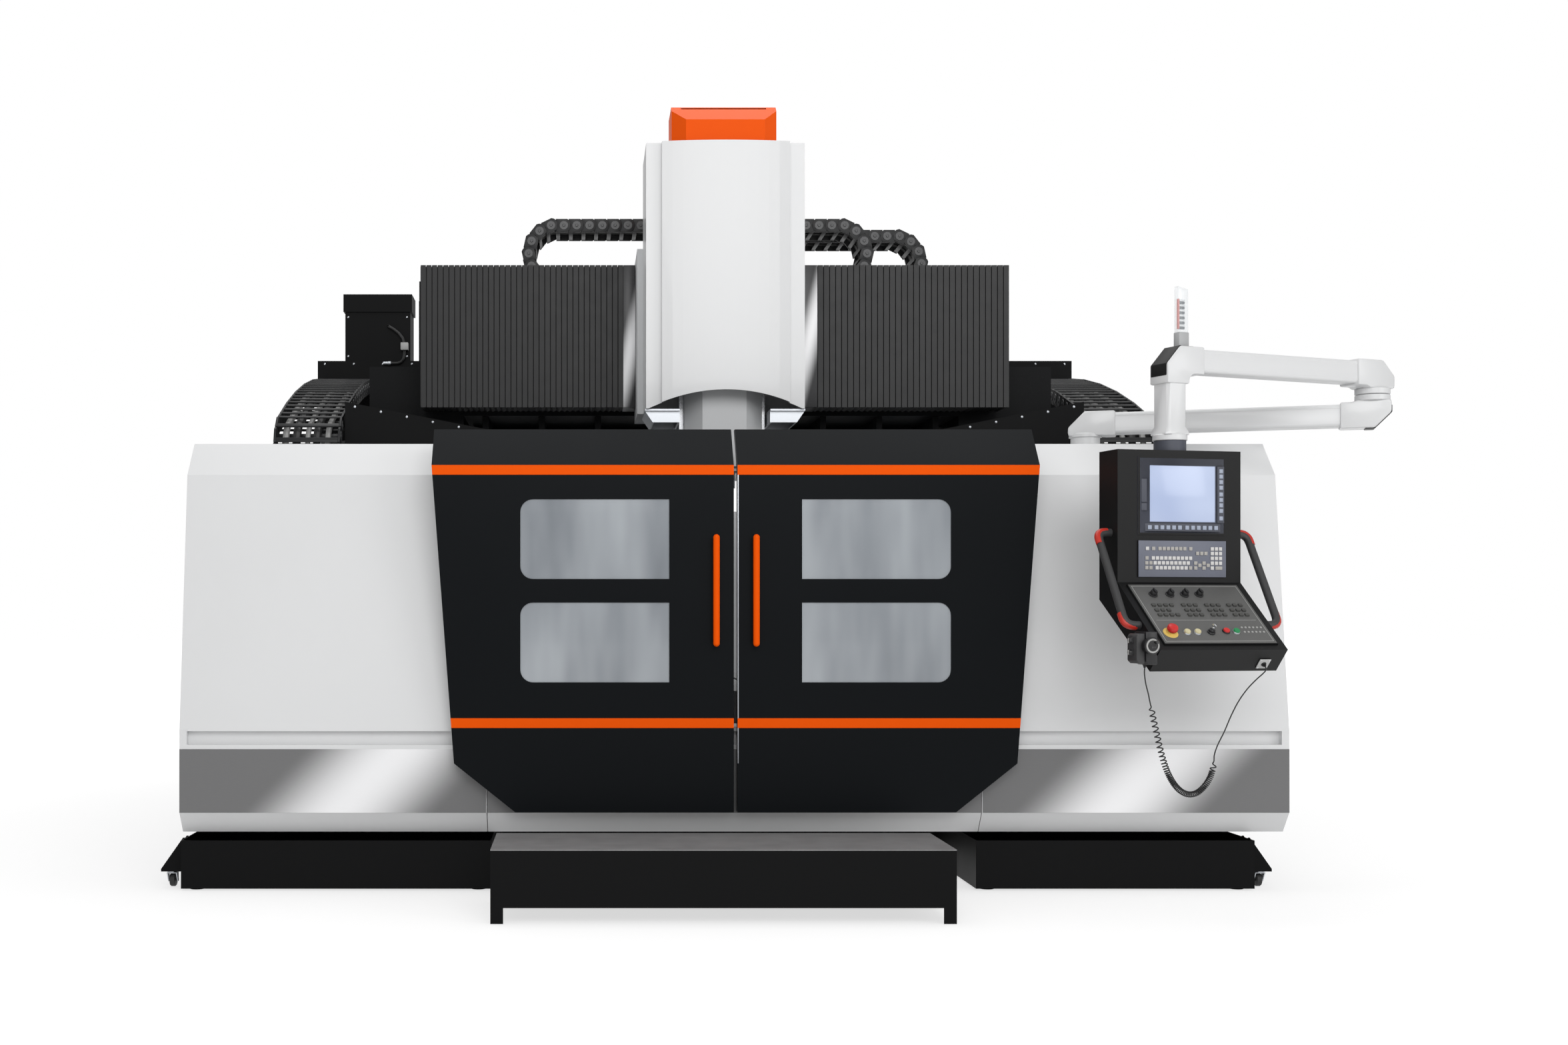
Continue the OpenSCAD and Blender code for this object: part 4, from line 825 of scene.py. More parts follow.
dial_at = (-0.038, -0.059, 0)
dial_rings = [(-0.002, 0.030), (0.019, 0.030), (0.021, 0.033), (0.0225, 0.034), (0.0285, 0.034), (0.031, 0.0315)]
on_wheel("handwheel_dial", dial_rings, dial_at, (0, -1, 0), knob_black, 44)
on_wheel("handwheel_scale", [(0.0305, 0.0285), (0.0318, 0.028)], dial_at, (0, -1, 0), console_line, 44)
on_wheel("handwheel_hub", [(0.031, 0.0215), (0.0332, 0.021), (0.0338, 0.012), (0.0325, 0.010)], dial_at, (0, -1, 0),
         knob_black, 44)
crank_rings = [(0.032, 0.0055), (0.036, 0.0052), (0.038, 0.0068), (0.0445, 0.0066), (0.046, 0.005)]
on_wheel("handwheel_crank", crank_rings, (-0.024, -0.059, 0.014), (0, -1, 0), grip_plastic)
gland_rings = [(-0.002, 0.0086), (0.002, 0.0086), (0.003, 0.0068), (0.0138, 0.0036)]
on_wheel("handwheel_gland", gland_rings, (-0.025, -0.005, -0.075), (0, 0, -1), rubber_black, 20)
print("handwheel done")

# %% Cord socket
socket_turn = math.atan2(0.080, 0.086)
socket_frame = panel @ Matrix.Translation((0.203, -0.35402, 1.0132)) @ Matrix.Rotation(socket_turn, 4, "X")
socket_half = 0.0245


def on_socket(piece, material):
    return finish_piece(set_in(piece, socket_frame), material, "control_panel")


on_socket(bar("socket_plate", (-socket_half, -0.0056, -socket_half), (socket_half, -0.002, socket_half), 0.0015), plug_grey)
screw_places = [(x, 0, z) for x in (-0.019, 0.019) for z in (-0.019, 0.019)]
socket_screw = turned("socket_screws", [(-0.001, 0.0033), (0.0012, 0.003), (0.0017, 0.002)],
                      (-0.019, -0.0056, -0.019), (0, -1, 0), 12)
on_socket(copies(socket_screw, screw_places), chrome)
socket_rings = [(0.004, 0.0108), (0.008, 0.0105), (0.0085, 0.0078), (0.0148, 0.0036)]
on_socket(turned("socket_gland", socket_rings, (0, 0, 0), (0, -1, 0), 20), rubber_black)
print("socket done")

# %% [markdown]
# Two grab handles flank the box. Each is one bent oval bar with red end shoes. The bar is swept
# along three straight runs with rounded corners, so it is drawn as a line first.


# %% Grab handles
def rounded_line(points, radius, count=5):
    """Replaces each inner corner by a short arc of points."""
    points = [Vector(p) for p in points]
    made = [points[0]]
    for before, corner, after in zip(points, points[1:], points[2:]):
        a = corner + (before - corner).normalized() * radius
        b = corner + (after - corner).normalized() * radius
        for i in range(count + 1):
            t = i / count
            made.append(a * (1 - t) ** 2 + corner * 2 * t * (1 - t) + b * t**2)
    return made + [points[-1]]


grip_top = Vector((box_half, -0.020, 1.545))
grip_low = Vector((box_half, -0.250, 1.165))
grip_stand = Vector((0.062, 0, 0))
for side, word in ((-1, "left"), (1, "right")):
    mirror = Matrix.Diagonal((side, 1, 1, 1))
    route = [grip_top, grip_top + grip_stand, grip_low + grip_stand, grip_low]
    route = [mirror @ p for p in rounded_line(route, 0.045)]
    grip = tube("grip_bar_" + word, route, 0.0165, 4)
    on_box(grip, grip_plastic)
    for end, corner, mark in ((grip_top, grip_top + grip_stand, "upper"), (grip_low, grip_low + grip_stand, "lower")):
        along = (grip_low - grip_top) if mark == "upper" else (grip_top - grip_low)
        shoe_line = rounded_line([end + grip_stand * 0.2, corner, corner + along.normalized() * 0.06], 0.04, 6)
        outwards = Vector((0.005, 0, 0.004 if mark == "upper" else -0.004))
        shoe = tube(f"grip_shoe_{mark}_{word}", [mirror @ (p + outwards) for p in shoe_line], 0.0148, 4)
        on_box(shoe, grip_red)
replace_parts(bpy.data.objects["grip_bar_left"], "control_handles")

# %% [markdown]
# ## Folding bellows beside the head
#
# Steel slats ride on a folded cover, each lapping over its neighbour, so the whole front closes
# like a fan as the head travels. A few slats and their folds make one piece.

# %% Bellows
slats_in_piece = 4
plate_edge = {"left": -0.457, "right": 0.512}
slat_lap = 0.005
fabric_black = moulded("bellows fabric", (0.009, 0.009, 0.0095), 0.6)


def bellows_piece(name, x0, pitch, low, high):
    """Slats with their folds, from x0 outwards in +X."""
    y0, y1, z0, z1 = low.y, high.y, low.z, high.z
    slats = []
    for i in range(slats_in_piece):
        a, b = x0 + i * pitch, x0 + (i + 1) * pitch
        outline = [(a + 0.0012, y0 + slat_lap + 0.002, z0), (a + 0.0012, y0 + slat_lap, z0), (a + 0.004, y0 + 0.0012, z0),
                   (b - 0.001, y0, z0), (b - 0.001, y0 + 0.002, z0)]
        slats.append(plate(name, outline, (0, 0, z1 - z0)))
    front = paint_all(join(name, slats), slat_plastic)
    ridge, valley = 0.0008, 0.007
    edge = [x0 + i * pitch / 2 for i in range(2 * slats_in_piece + 1)]
    top = [(x, y0 + slat_lap + 0.002, z1 - (ridge if i % 2 else valley)) for i, x in enumerate(edge)]
    foot = [(x, y0 + slat_lap + 0.002, z0 + (ridge if i % 2 else valley)) for i, x in enumerate(edge)]
    folds = paint_all(plate(name, top + foot[::-1], (0, y1 - y0 - slat_lap - 0.002, 0)), fabric_black)
    return join(name, [front, folds])


def paint_all(piece, material):
    paint(piece, material)
    return piece


def eased_stretch(x, fixed, moving):
    """Start and end of a smooth ease that has the share and slope of a straight one at x."""
    share = (x - fixed) / (moving - fixed)
    t = 0.5 - math.sin(math.asin(1 - 2 * share) / 3)
    span = 6 * t * (1 - t) * (moving - fixed)
    return x - t * span, x - t * span + span


for side, word in ((-1, "left"), (1, "right")):
    low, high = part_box("bellows_" + word)
    low, high = Vector(low), Vector(high)
    outer = low.x if side < 0 else high.x
    inner = plate_edge[word]
    head_side = high.x if side < 0 else low.x
    count = round(abs(outer - inner) / 0.0282 / slats_in_piece)
    pitch = abs(outer - inner) / count / slats_in_piece
    for group in range(count):
        near = inner + side * group * slats_in_piece * pitch
        far = near + side * slats_in_piece * pitch
        piece = bellows_piece(f"bellows_{word}_{group + 1}", min(near, far), pitch, low, high)
        finish_piece(piece, None, "bridge", 20)
        start, end = eased_stretch((near + far) / 2, outer, inner)
        piece.parent = None
        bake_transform(piece)
        if group == 0:
            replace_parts(piece, "bellows_" + word)
    plate_x = sorted((inner, head_side + side * 0.001))
    end_sheet = bar("bellows_end_plate_" + word, (plate_x[0], low.y, low.z), (plate_x[1], low.y + 0.2, high.z), 0.0015)
    finish_piece(end_sheet, plate_steel, "saddle")
print("bellows", count, "pieces a side, pitch", round(pitch, 4))

# %% [markdown]
# ## Energy chains
#
# Cables and hoses follow the moving axes inside chains of plastic links. A link is two side
# plates, each with a round ear and a waist, held apart by cross bars. One link is modelled and
# then copied along the route, turning a little more at each joint.

# %% Chain links
hose_grey = moulded("hose grey", (0.28, 0.28, 0.275), 0.4)
hose_black = moulded("hose black", (0.02, 0.02, 0.02), 0.45)
pin_grey = moulded("chain pin", (0.045, 0.046, 0.048), 0.35)


def chain_route(angles, pitch):
    """Joint places in the chain's plane, and the last one."""
    at, made = Vector((0, 0)), []
    for angle in angles:
        made.append(at.copy())
        at = at + pitch * Vector((math.cos(math.radians(angle)), -math.sin(math.radians(angle))))
    return made + [at]


def link_piece(name, pitch, height, width, bars):
    """One link along +X from its ear at the origin, in a frame whose Y is the chain's width."""
    r, waist = height / 2, height * 0.44
    ear = arc((0, 0), r, 118, 242, 6)
    neck = [(pitch - r * 0.62, -waist), (pitch - r * 0.86, -waist * 0.45), (pitch - r * 0.86, waist * 0.45), (pitch - r * 0.62, waist)]
    outline = [(x, z) for x, z in ear] + neck
    made = []
    for side in (-1, 1):
        y = side * (width / 2 - 0.006)
        web = plate(name, [(x, y - 0.0055, z) for x, z in outline], (0, 0.011, 0), 0.0015)
        hub = turned(name, [(0, r * 0.62), (0.0035, r * 0.58), (0.0035, r * 0.22), (0.006, r * 0.16)],
                     (0, y + side * 0.0045, 0), (0, side, 0), 14)
        made += [paint_all(web, chain_plastic), paint_all(hub, pin_grey)]
    thick = 0.008
    for z in (height * 0.42 - thick, -height * 0.42):
        x = pitch * 0.47
        rung = bar(name, (x - bars / 2, -width / 2 + 0.006, z), (x + bars / 2, width / 2 - 0.006, z + thick), 0.0025)
        made.append(paint_all(rung, chain_plastic))
    return join(name, made)


def chain(name, angles, pitch, height, width, place, body, node, hoses):
    """Lays links along a route; place maps the chain's own (x, y, z) into the machine."""
    joints_at = chain_route(angles, pitch)
    link = link_piece(name, pitch, height, width, pitch * 0.32)
    made = []
    for at, angle in zip(joints_at, angles):
        twin = link.copy()
        twin.data = link.data.copy()
        turn = Matrix.Rotation(math.radians(angle), 4, "Y")
        twin.data.transform(place @ Matrix.Translation((at.x, 0, at.y)) @ turn)
        bpy.context.scene.collection.objects.link(twin)
        made.append(twin)
    bpy.data.objects.remove(link)
    for index, (y, radius, tint) in enumerate(hoses):
        line = [place @ Vector((p.x, y, p.y)) for p in joints_at]
        made.append(paint_all(tube(name, rounded_line(line, pitch * 0.4, 3), radius, 2), tint))
    piece = join(name, made)
    begin()
    piece.select_set(True)
    bpy.context.view_layer.objects.active = piece
    bpy.ops.object.mode_set(mode="EDIT")
    bpy.ops.mesh.select_all(action="SELECT")
    bpy.ops.mesh.normals_make_consistent(inside=False)
    bpy.ops.object.mode_set(mode="OBJECT")
    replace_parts(finish_piece(piece, None, body), node)
    return piece


side_fall = [8.4 + (i // 4) * 3 for i in range(20)]
side_bend = [21 + (i + 1) * 24.2 for i in range(6)]
side_angles = side_fall + side_bend + [180] * 13
side_hoses = [(-0.11, 0.017, hose_grey), (-0.055, 0.021, hose_black), (0.0, 0.013, hose_grey), (0.045, 0.019, hose_black),
              (0.1, 0.015, hose_grey)]
for side, word in ((-1, "left"), (1, "right")):
    low, high = (Vector(v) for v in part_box("side_chain_" + word))
    middle = (low.x + high.x) / 2
    start = Matrix.Translation((middle, 0.715, 2.552)) @ Matrix.Rotation(math.radians(-90), 4, "Z")
    chain("energy_chain_" + word, side_angles, 0.080, 0.090, high.x - low.x, start, "bridge", "side_chain_" + word, side_hoses)

top_bend = [(i + 1) * 180 / 7 for i in range(7)]
top_hoses = [(-0.07, 0.014, hose_black), (-0.02, 0.018, hose_grey), (0.035, 0.014, hose_black), (0.08, 0.012, hose_grey)]
top_runs = (("top_chain_left", -0.096, 11), ("top_chain_front", 0.030, 10), ("top_chain_rear", 0.030, 15))
for node, start_x, run in top_runs:
    low, high = (Vector(v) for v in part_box(node))
    middle = (low.y + high.y) / 2
    start = Matrix.Translation((start_x, middle, 3.215))
    if start_x < 0:
        start = start @ Matrix.Rotation(math.radians(180), 4, "Z")
    chain(node.replace("chain", "energy_chain"), [0] * run + top_bend + [180] * 8, 0.066, 0.076, high.y - low.y, start,
          "saddle", node, top_hoses)
print("chains laid")

# %% [markdown]
# ## The swing arm
#
# The arm is built from square tubes with rounded corners that plug into cast elbows. An elbow has
# a bevelled outer corner; two of them carry a black plastic cap where the cables are reached.


# %% Arm helpers
def lofted(name, outline, rings):
    """An outline in XY that is extruded up through rings of (height, scale)."""
    height, scale = rings[0]
    begin()
    bpy.ops.mesh.primitive_circle_add(vertices=len(outline), fill_type="NGON")
    for vertex, (x, y) in zip(bpy.context.object.data.vertices, outline):
        vertex.co = (x * scale, y * scale, height)
    edit()
    for next_height, next_scale in rings[1:]:
        bpy.ops.mesh.extrude_region_move(TRANSFORM_OT_translate={"value": (0, 0, next_height - height)})
        ratio = next_scale / scale
        bpy.ops.transform.resize(value=(ratio, ratio, 1))
        height, scale = next_height, next_scale
    bpy.ops.mesh.select_all(action="SELECT")
    bpy.ops.mesh.normals_make_consistent(inside=False)
    return leave(name)


def side_profile(name, points, half_width, rounding):
    """A profile in XZ, as wide as the arm."""
    return plate(name, [(x, -half_width, z) for x, z in points], (0, 2 * half_width, 0), rounding)


def arm_tube_piece(name, x0, x1, z0, z1):
    """The arm's extruded tube: soft corners and a shallow line along each edge."""
    mid, h = (z0 + z1) / 2, (z1 - z0) / 2
    c, g = h - 0.013, 0.0012
    quarter = [(h - g, -c + 0.004), (h - g, c - 0.004), (h, c - 0.002), (h, c), (h - 0.003, h - 0.006), (h - 0.006, h - 0.003), (c, h),
               (c - 0.002, h), (c - 0.004, h - g)]
    ring = []
    for k in range(4):
        turn = Matrix.Rotation(math.radians(90 * k), 2)
        ring += [turn @ Vector(p) for p in quarter]
    return plate(name, [(x0, y, mid + z) for y, z in ring], (x1 - x0, 0, 0))


arm_pivot = Vector(joints["arm_base_swing"]["pos_m"])
elbow = Vector(joints["arm_elbow_swing"]["pos_m"])
split_z = elbow.z


def arm_frame(start, end):
    along = Vector((end.x - start.x, end.y - start.y))
    return Matrix.Translation((start.x, start.y, 0)) @ Matrix.Rotation(math.atan2(along.y, along.x), 4, "Z"), along.length


lower_frame, lower_length = arm_frame(arm_pivot, elbow)
upper_frame, upper_length = arm_frame(elbow, panel_pivot)


def on_arm(piece, matrix, body, material=white_arm, smooth=40):
    return finish_piece(set_in(piece, matrix), material, body, smooth)


# %% Lower arm
tube_h = 0.098
wall = 0.008
socket = 0.135
ring_r = 0.0735
ring_h = 0.026
turn_out = 0.074
bend_cut = 0.068
arm_half = tube_h / 2 + wall
low_z = 2.034
high_z = 2.215
lower_top = low_z + tube_h + wall
lower_foot = low_z - wall
foot_z = Vector(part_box("lower_arm")[0]).z
lower_tube = arm_tube_piece("arm_lower_tube", 0.06, lower_length - 0.06, low_z, low_z + tube_h)
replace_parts(on_arm(lower_tube, lower_frame, "arm_lower"), "lower_arm")
base_bend = [(socket, lower_foot), (socket, lower_top), (0.0, lower_top), (-turn_out, lower_top - turn_out),
             (-turn_out, low_z), (-0.066, foot_z + 0.006), (0.07, foot_z + 0.006), (0.09, lower_foot)]
on_arm(side_profile("arm_base_bend", base_bend, arm_half, 0.008), lower_frame, "arm_lower")
base_ring = [(foot_z, ring_r), (foot_z + 0.014, ring_r), (foot_z + 0.018, 0.069)]
on_arm(turned("arm_base_ring", base_ring), lower_frame, "arm_lower")
elbow_low = lower_frame @ Matrix.Translation((lower_length, 0, 0))
joint_low = split_z - ring_h
lower_bend = [(-socket, lower_foot), (turn_out - bend_cut, lower_foot), (turn_out, lower_foot + bend_cut),
              (turn_out, joint_low - 0.004), (0.066, joint_low + 0.002), (-0.066, joint_low + 0.002),
              (-0.086, lower_top), (-socket, lower_top)]
on_arm(side_profile("arm_lower_bend", lower_bend, arm_half, 0.008), elbow_low, "arm_lower")
lower_ring = [(joint_low, 0.07), (joint_low + 0.002, ring_r), (split_z - 0.003, ring_r), (split_z - 0.001, 0.071)]
on_arm(turned("arm_lower_ring", lower_ring, sides=40), elbow_low, "arm_lower")
cap_t = 0.003
cap_line = [(turn_out - bend_cut - 0.038, lower_foot + 0.004), (turn_out - bend_cut, lower_foot + 0.004),
            (turn_out - 0.004, lower_foot + bend_cut), (turn_out - 0.004, lower_foot + bend_cut + 0.03),
            (turn_out + cap_t, lower_foot + bend_cut + 0.03), (turn_out + cap_t, lower_foot + bend_cut - 0.001),
            (turn_out - bend_cut + 0.001, lower_foot - cap_t), (turn_out - bend_cut - 0.038, lower_foot - cap_t)]
lower_cap = side_profile("arm_lower_cap", cap_line, arm_half - 0.009, 0.0028)
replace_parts(on_arm(lower_cap, elbow_low, "arm_lower", black_box), "elbow_cap")

# %% Upper arm and post
upper_top = high_z + tube_h + wall
upper_foot = high_z - wall
upper_tube = arm_tube_piece("arm_upper_tube", 0.06, upper_length - 0.05, high_z, high_z + tube_h)
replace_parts(on_arm(upper_tube, upper_frame, "arm_upper"), "upper_arm")
joint_high = split_z + 0.0015 + ring_h
upper_bend = [(socket, upper_top), (turn_out - bend_cut - 0.014, upper_top), (-turn_out, upper_top - bend_cut),
              (-turn_out, joint_high + 0.004), (-0.066, joint_high - 0.002), (0.066, joint_high - 0.002),
              (0.086, upper_foot), (socket, upper_foot)]
on_arm(side_profile("arm_upper_bend", upper_bend, arm_half, 0.008), upper_frame, "arm_upper")
upper_ring = [(split_z + 0.0015, 0.071), (split_z + 0.0035, ring_r), (joint_high - 0.002, ring_r), (joint_high, 0.07)]
on_arm(turned("arm_upper_ring", upper_ring, sides=40), upper_frame, "arm_upper")
post_at = upper_frame @ Matrix.Translation((upper_length, 0, 0))
bevel_z = high_z + 0.030
hollow = [(x, z) for x, z in arc((-arm_half - 0.03, upper_foot - 0.03), 0.03, 90, 0, 4)]
post_bend = [(-socket, upper_foot), *hollow, (-arm_half, upper_foot - 0.042), (arm_half, upper_foot - 0.042),
             (arm_half, bevel_z), (-0.012, upper_top), (-socket, upper_top)]
on_arm(side_profile("arm_post_bend", post_bend, arm_half, 0.007), post_at, "arm_upper")
cap_line = [(arm_half + cap_t, bevel_z - 0.048), (arm_half + cap_t, bevel_z + 0.001), (-0.011, upper_top + cap_t),
            (-0.020, upper_top + cap_t), (-0.020, upper_top - 0.004), (-0.014, upper_top - 0.004),
            (arm_half - 0.004, bevel_z - 0.004), (arm_half - 0.004, bevel_z - 0.048)]
post_cap = side_profile("arm_post_cap", cap_line, arm_half - 0.009, 0.0028)
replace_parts(on_arm(post_cap, post_at, "arm_upper", black_box), "post_cap")
corner = 0.05
cut = 0.013
square = [(corner, -corner + cut), (corner, corner - cut), (corner - cut, corner), (-corner + cut, corner),
          (-corner, corner - cut), (-corner, -corner + cut), (-corner + cut, -corner), (corner - cut, -corner)]
flange_z = panel_pivot.z
post_rings = [(flange_z + 0.024, 1.22), (flange_z + 0.036, 1.22), (flange_z + 0.058, 1.0), (high_z + 0.02, 1.0)]
on_arm(lofted("arm_post", square, post_rings), post_at, "arm_upper")
flange_rings = [(flange_z, 0.068), (flange_z + 0.002, 0.0698), (flange_z + 0.022, 0.0698), (flange_z + 0.026, 0.066)]
on_arm(turned("arm_post_flange", flange_rings, sides=40), post_at, "arm_upper")
neck = turned("panel_neck", [(box_top - 0.002, 0.0655), (flange_z - 0.001, 0.0655)], sides=40)
on_arm(neck, panel, "control_panel", bezel_dark)
print("arm built, upper", round(upper_length, 3), "lower", round(lower_length, 3))

# %% [markdown]
# A signal lamp of the flat kind stands on the arm: a clear acrylic blade over a grey foot. Inside
# the blade is a column of light segments. The blade's top is cut at a slant.

# %% Signal lamp
lamp_low, lamp_high = (Vector(v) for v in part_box("signal_lamp"))
lamp_at = upper_frame @ Matrix.Translation((upper_length - 0.060, 0, 0))
lamp_z = lamp_low.z
segment_white = moulded("lamp segment", (0.75, 0.77, 0.78), 0.3)
segment_dark = moulded("lamp divider", (0.05, 0.06, 0.07), 0.4)
segment_red = moulded("lamp red edge", (0.75, 0.2, 0.17), 0.3)
lamp_grey = moulded("lamp foot grey", (0.42, 0.425, 0.43), 0.45)
acrylic = Finish("lamp acrylic", (0.86, 0.9, 0.93), 0.08, extra={"Coat Weight": 0.6})
acrylic.put("Alpha", acrylic.noise(4.0) * 0.12 + 0.2)
foot = [bar("lamp_foot", (-0.038, -0.030, lamp_z), (0.038, 0.030, lamp_z + 0.005), 0.0015),
        bar("lamp_foot", (-0.026, -0.018, lamp_z + 0.004), (0.026, 0.018, lamp_z + 0.064), 0.003)]
on_arm(join("lamp_foot", foot), lamp_at, "arm_upper", lamp_grey)
blade_top = lamp_high.z
blade_line = [(-0.026, lamp_z + 0.064), (0.026, lamp_z + 0.064), (0.026, blade_top), (-0.026, blade_top - 0.012)]
blade = side_profile("lamp_blade", blade_line, 0.013, 0.0015)
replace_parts(on_arm(blade, lamp_at, "arm_upper", acrylic.material), "signal_lamp")
rows = 12
row_h = 0.0105
rows_z = lamp_z + 0.078
white_rows = [bar("lamp_segments", (-0.014, -0.006, rows_z + i * row_h), (0.014, 0.006, rows_z + (i + 0.78) * row_h), 0.001)
              for i in range(rows) if i % 2]
dark_rows = [bar("lamp_dividers", (-0.014, -0.005, rows_z + i * row_h), (0.014, 0.005, rows_z + (i + 0.95) * row_h), 0.001)
             for i in range(rows) if i % 2 == 0]
on_arm(join("lamp_segments", white_rows), lamp_at, "arm_upper", segment_white)
on_arm(join("lamp_dividers", dark_rows), lamp_at, "arm_upper", segment_dark)
red_edge = bar("lamp_red_edge", (0.0145, -0.006, rows_z), (0.019, 0.006, rows_z + rows * row_h), 0.001)
on_arm(red_edge, lamp_at, "arm_upper", segment_red)
print("lamp up to", round(blade_top, 3))

# %% [markdown]
# ## Small fittings
#
# Sheet covers are held by pan-head screws in even rows, the left cabinet is fed through a bent
# conduit with a junction box, and the rear bays have louvres, a pull and two quarter-turn
# latches each. One of each is modelled, and copies take the other places.

# %% Fittings
def screw_row(name, places, axis, body, radius=0.0065):
    """Pan heads of one row, that stand on a face with the given outward axis."""
    head = turned(name, [(-0.001, radius), (0.0015, radius), (0.0032, radius * 0.72), (0.0036, radius * 0.4)],
                  places[0], axis, 14)
    return finish_piece(copies(head, places), zinc, body)


guard_face = Vector(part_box("front_guards")[0]).y
guard_rise = (2.276 - 2.130) / (1.85 - 1.10)
for side, word in ((-1, "left"), (1, "right")):
    along = [1.15 + 0.13 * i for i in range(6)]
    places = [(side * x, guard_face, 2.130 + (x - 1.10) * guard_rise - 0.016) for x in along]
    screw_row("guard_screws_" + word, places, (0, -1, 0), "bridge")
    lid = [(side * (1.66 + 0.17 * i), 0.760, 2.682) for i in range(4)]
    screw_row("housing_screws_" + word, lid, (0, -1, 0), "bridge", 0.006)
cabinet_face = 0.780
corners = [(x, cabinet_face, z) for x in (-2.035, -1.69) for z in (2.73, 2.96)]
screw_row("cabinet_screws", corners, (0, -1, 0), "bridge", 0.006)

conduit_upper = [(-1.798, 0.781, 2.910), (-1.798, 0.763, 2.909), (-1.790, 0.757, 2.900), (-1.765, 0.757, 2.886),
                 (-1.735, 0.757, 2.862), (-1.712, 0.757, 2.832), (-1.703, 0.757, 2.800)]
conduit_lower = [(-1.703, 0.757, 2.765), (-1.704, 0.750, 2.735), (-1.709, 0.743, 2.708), (-1.723, 0.741, 2.690),
                 (-1.744, 0.741, 2.684), (-1.782, 0.741, 2.684)]
for word, line in (("upper", conduit_upper), ("lower", conduit_lower)):
    finish_piece(tube("conduit_" + word, rounded_line(line, 0.008, 3), 0.0085, 3), cord_rubber, "bridge")
finish_piece(bar("junction_box", (-1.724, 0.738, 2.762), (-1.680, 0.782, 2.806), 0.003), plug_grey, "bridge")
gland = turned("conduit_gland", [(0, 0.008), (0.004, 0.0125), (0.018, 0.0125), (0.02, 0.0105), (0.047, 0.0105)],
               (-1.778, 0.741, 2.684), (-1, 0, 0), 18)
finish_piece(gland, zinc, "bridge")

edge_strip = bar("door_edge_strip", (0.0085, -2.1014, 0.565), (0.0125, -2.0985, 1.852), 0.0005)
finish_piece(edge_strip, zinc, "door_right")

rear_face = 3.627
bay_w = 4.83 / 3
for i in range(3):
    bay_low = -2.415 + i * bay_w
    middle = bay_low + bay_w / 2
    louvre = plate("louvres", [(middle - 0.28, rear_face - 0.001, 1.50), (middle - 0.28, rear_face + 0.009, 1.503),
                               (middle - 0.28, rear_face - 0.001, 1.522)], (0.56, 0, 0), 0.0008)
    louvres = copies(louvre, [(0, 0, 0.034 * k) for k in range(9)])
    louvres.name = f"rear_louvres_{i + 1}"
    finish_piece(louvres, white_sheet, "machine")
    latch = turned(f"rear_latches_{i + 1}", [(-0.001, 0.019), (0.004, 0.019), (0.006, 0.016), (0.0065, 0.006)],
                   (bay_low + 0.09, rear_face, 1.10), (0, 1, 0), 22)
    finish_piece(copies(latch, [(0, 0, 0), (bay_w - 0.18, 0, 0)]), zinc, "machine")
    pull_line = [(middle - 0.07, rear_face - 0.002, 1.10), (middle - 0.07, rear_face + 0.019, 1.10),
                 (middle + 0.07, rear_face + 0.019, 1.10), (middle + 0.07, rear_face - 0.002, 1.10)]
    pull = tube(f"rear_pull_{i + 1}", rounded_line(pull_line, 0.012), 0.0055, 3)
    finish_piece(pull, grip_plastic, "machine")
print("fittings on")

# %% [markdown]
# ## Floor and light
#
# The photograph has no floor line: the machine stands on pure white. The floor here is a pale
# plane that glows a little towards the camera and still shows the object's shadow, and the world
# is white to the camera and a softer grey as a lamp.

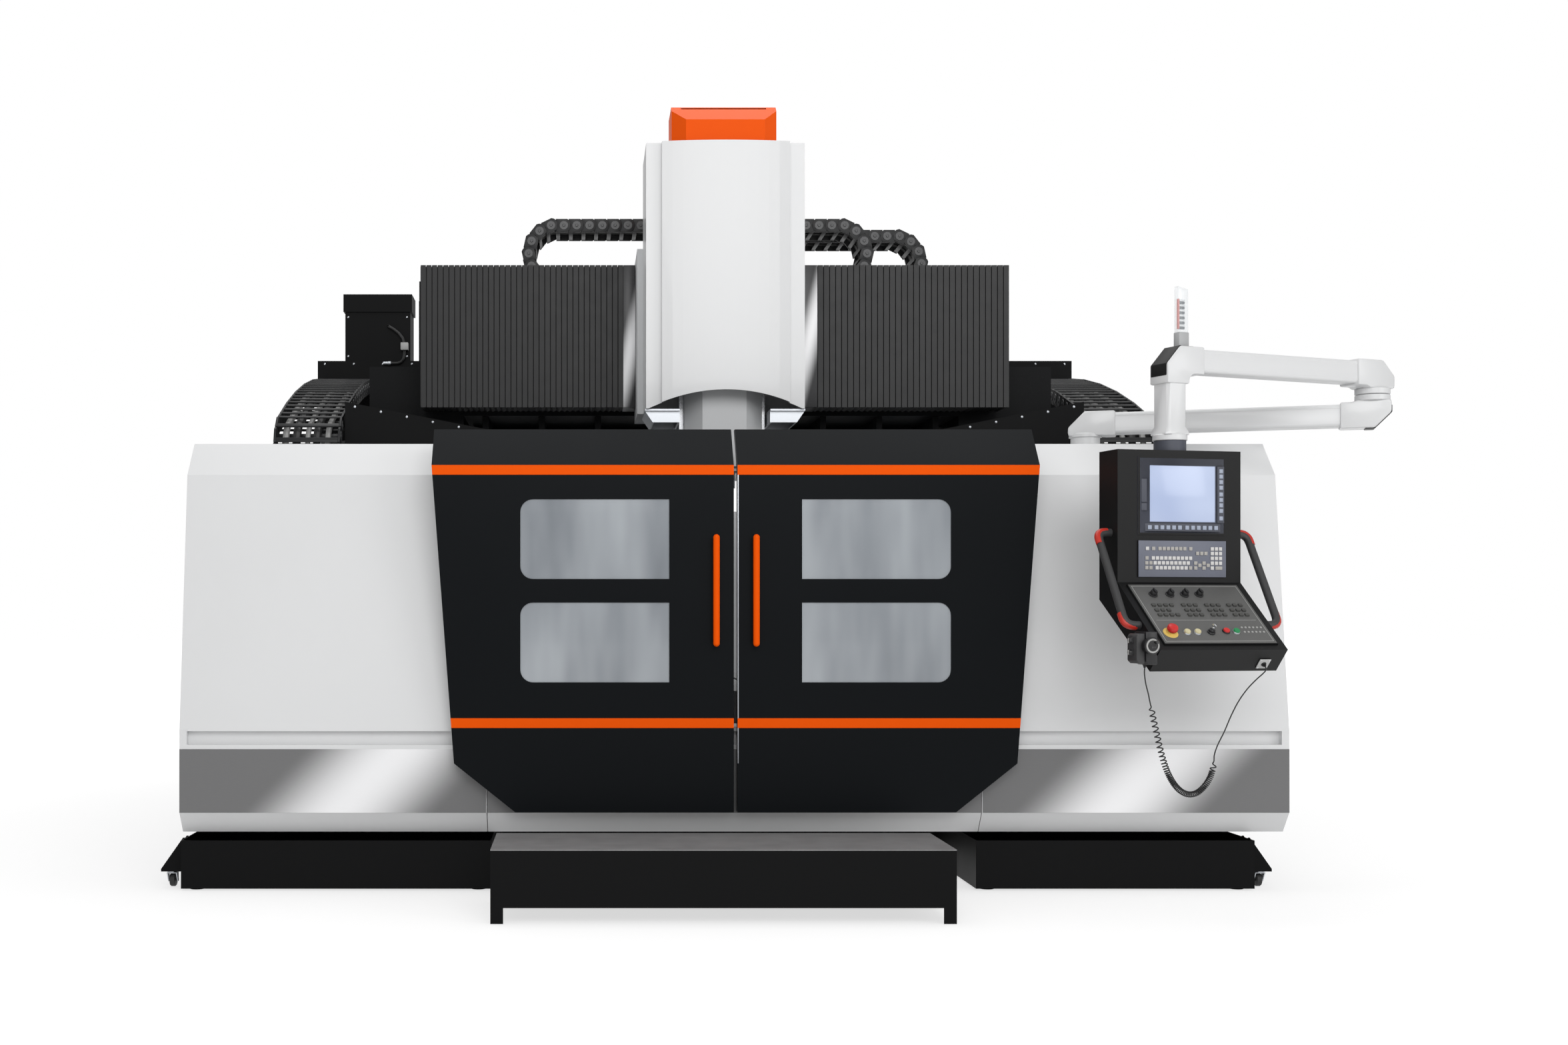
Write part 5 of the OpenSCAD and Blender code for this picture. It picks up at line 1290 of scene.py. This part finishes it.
# %% Floor
bpy.ops.object.select_all(action="DESELECT")
bpy.ops.mesh.primitive_plane_add(size=160, location=(0, 0, -0.0005))
floor = bpy.context.object
floor.name = "floor"
floor_finish = Finish("floor", (0.9, 0.9, 0.9), 0.9)
glow = floor_finish.add("ShaderNodeEmission", inputs={"Color": (1, 1, 1, 1), "Strength": 1.17})
ray = floor_finish.add("ShaderNodeLightPath").socket.node
seen = Wire(floor_finish, ray.outputs["Is Camera Ray"]) + Wire(floor_finish, ray.outputs["Is Glossy Ray"])
seen = seen + Wire(floor_finish, ray.outputs["Is Transmission Ray"])
x, y, z = floor_finish.axes()
away = (x * x + y * y) / 70.0
far = away.math("MINIMUM", away, 1.0)
shown = floor_finish.add("ShaderNodeMixShader", inputs={0: seen * (far * 0.48 + 0.52), 2: glow})
shader_out = Wire(floor_finish, floor_finish.shader.outputs[0])
floor_finish.plug(shown.socket.node.inputs[1], shader_out)
floor_finish.plug(floor_finish.tree.nodes["Material Output"].inputs["Surface"], shown)
paint(floor, floor_finish.material)

# %% World and lamps
world = bpy.data.worlds.new("studio")
bpy.context.scene.world = world
world.use_nodes = True
sky = world.node_tree
background = sky.nodes["Background"]
path = sky.nodes.new("ShaderNodeLightPath")
either = sky.nodes.new("ShaderNodeMath")
either.operation = "MAXIMUM"
sky.links.new(path.outputs["Is Camera Ray"], either.inputs[0])
sky.links.new(path.outputs["Is Transmission Ray"], either.inputs[1])
level = sky.nodes.new("ShaderNodeMapRange")
ambient = 0.5
level.inputs["To Min"].default_value = ambient
level.inputs["To Max"].default_value = 1.0
sky.links.new(either.outputs[0], level.inputs["Value"])
sky.links.new(level.outputs["Result"], background.inputs["Strength"])
background.inputs["Color"].default_value = (1, 1, 1, 1)


def softbox(name, location, target, size, watts):
    bpy.ops.object.light_add(type="AREA", location=location)
    lamp = bpy.context.object
    lamp.name = name
    lamp.data.shape = "RECTANGLE"
    lamp.data.size, lamp.data.size_y = size
    lamp.data.energy = watts
    aim = Vector(target) - Vector(location)
    lamp.rotation_euler = aim.to_track_quat("-Z", "Y").to_euler()
    return lamp


softbox("key", (0.6, -12.0, 6.0), (0.2, -1.5, 1.2), (8.0, 5.0), 470)
softbox("side", (7.5, -8.0, 4.0), (0.5, -1.5, 1.6), (4.0, 4.0), 120)
softbox("top", (0, 0.5, 8.0), (0, 0.5, 0), (7.0, 7.0), 260)
bpy.context.scene.view_settings.view_transform = "Standard"
print("stage set")
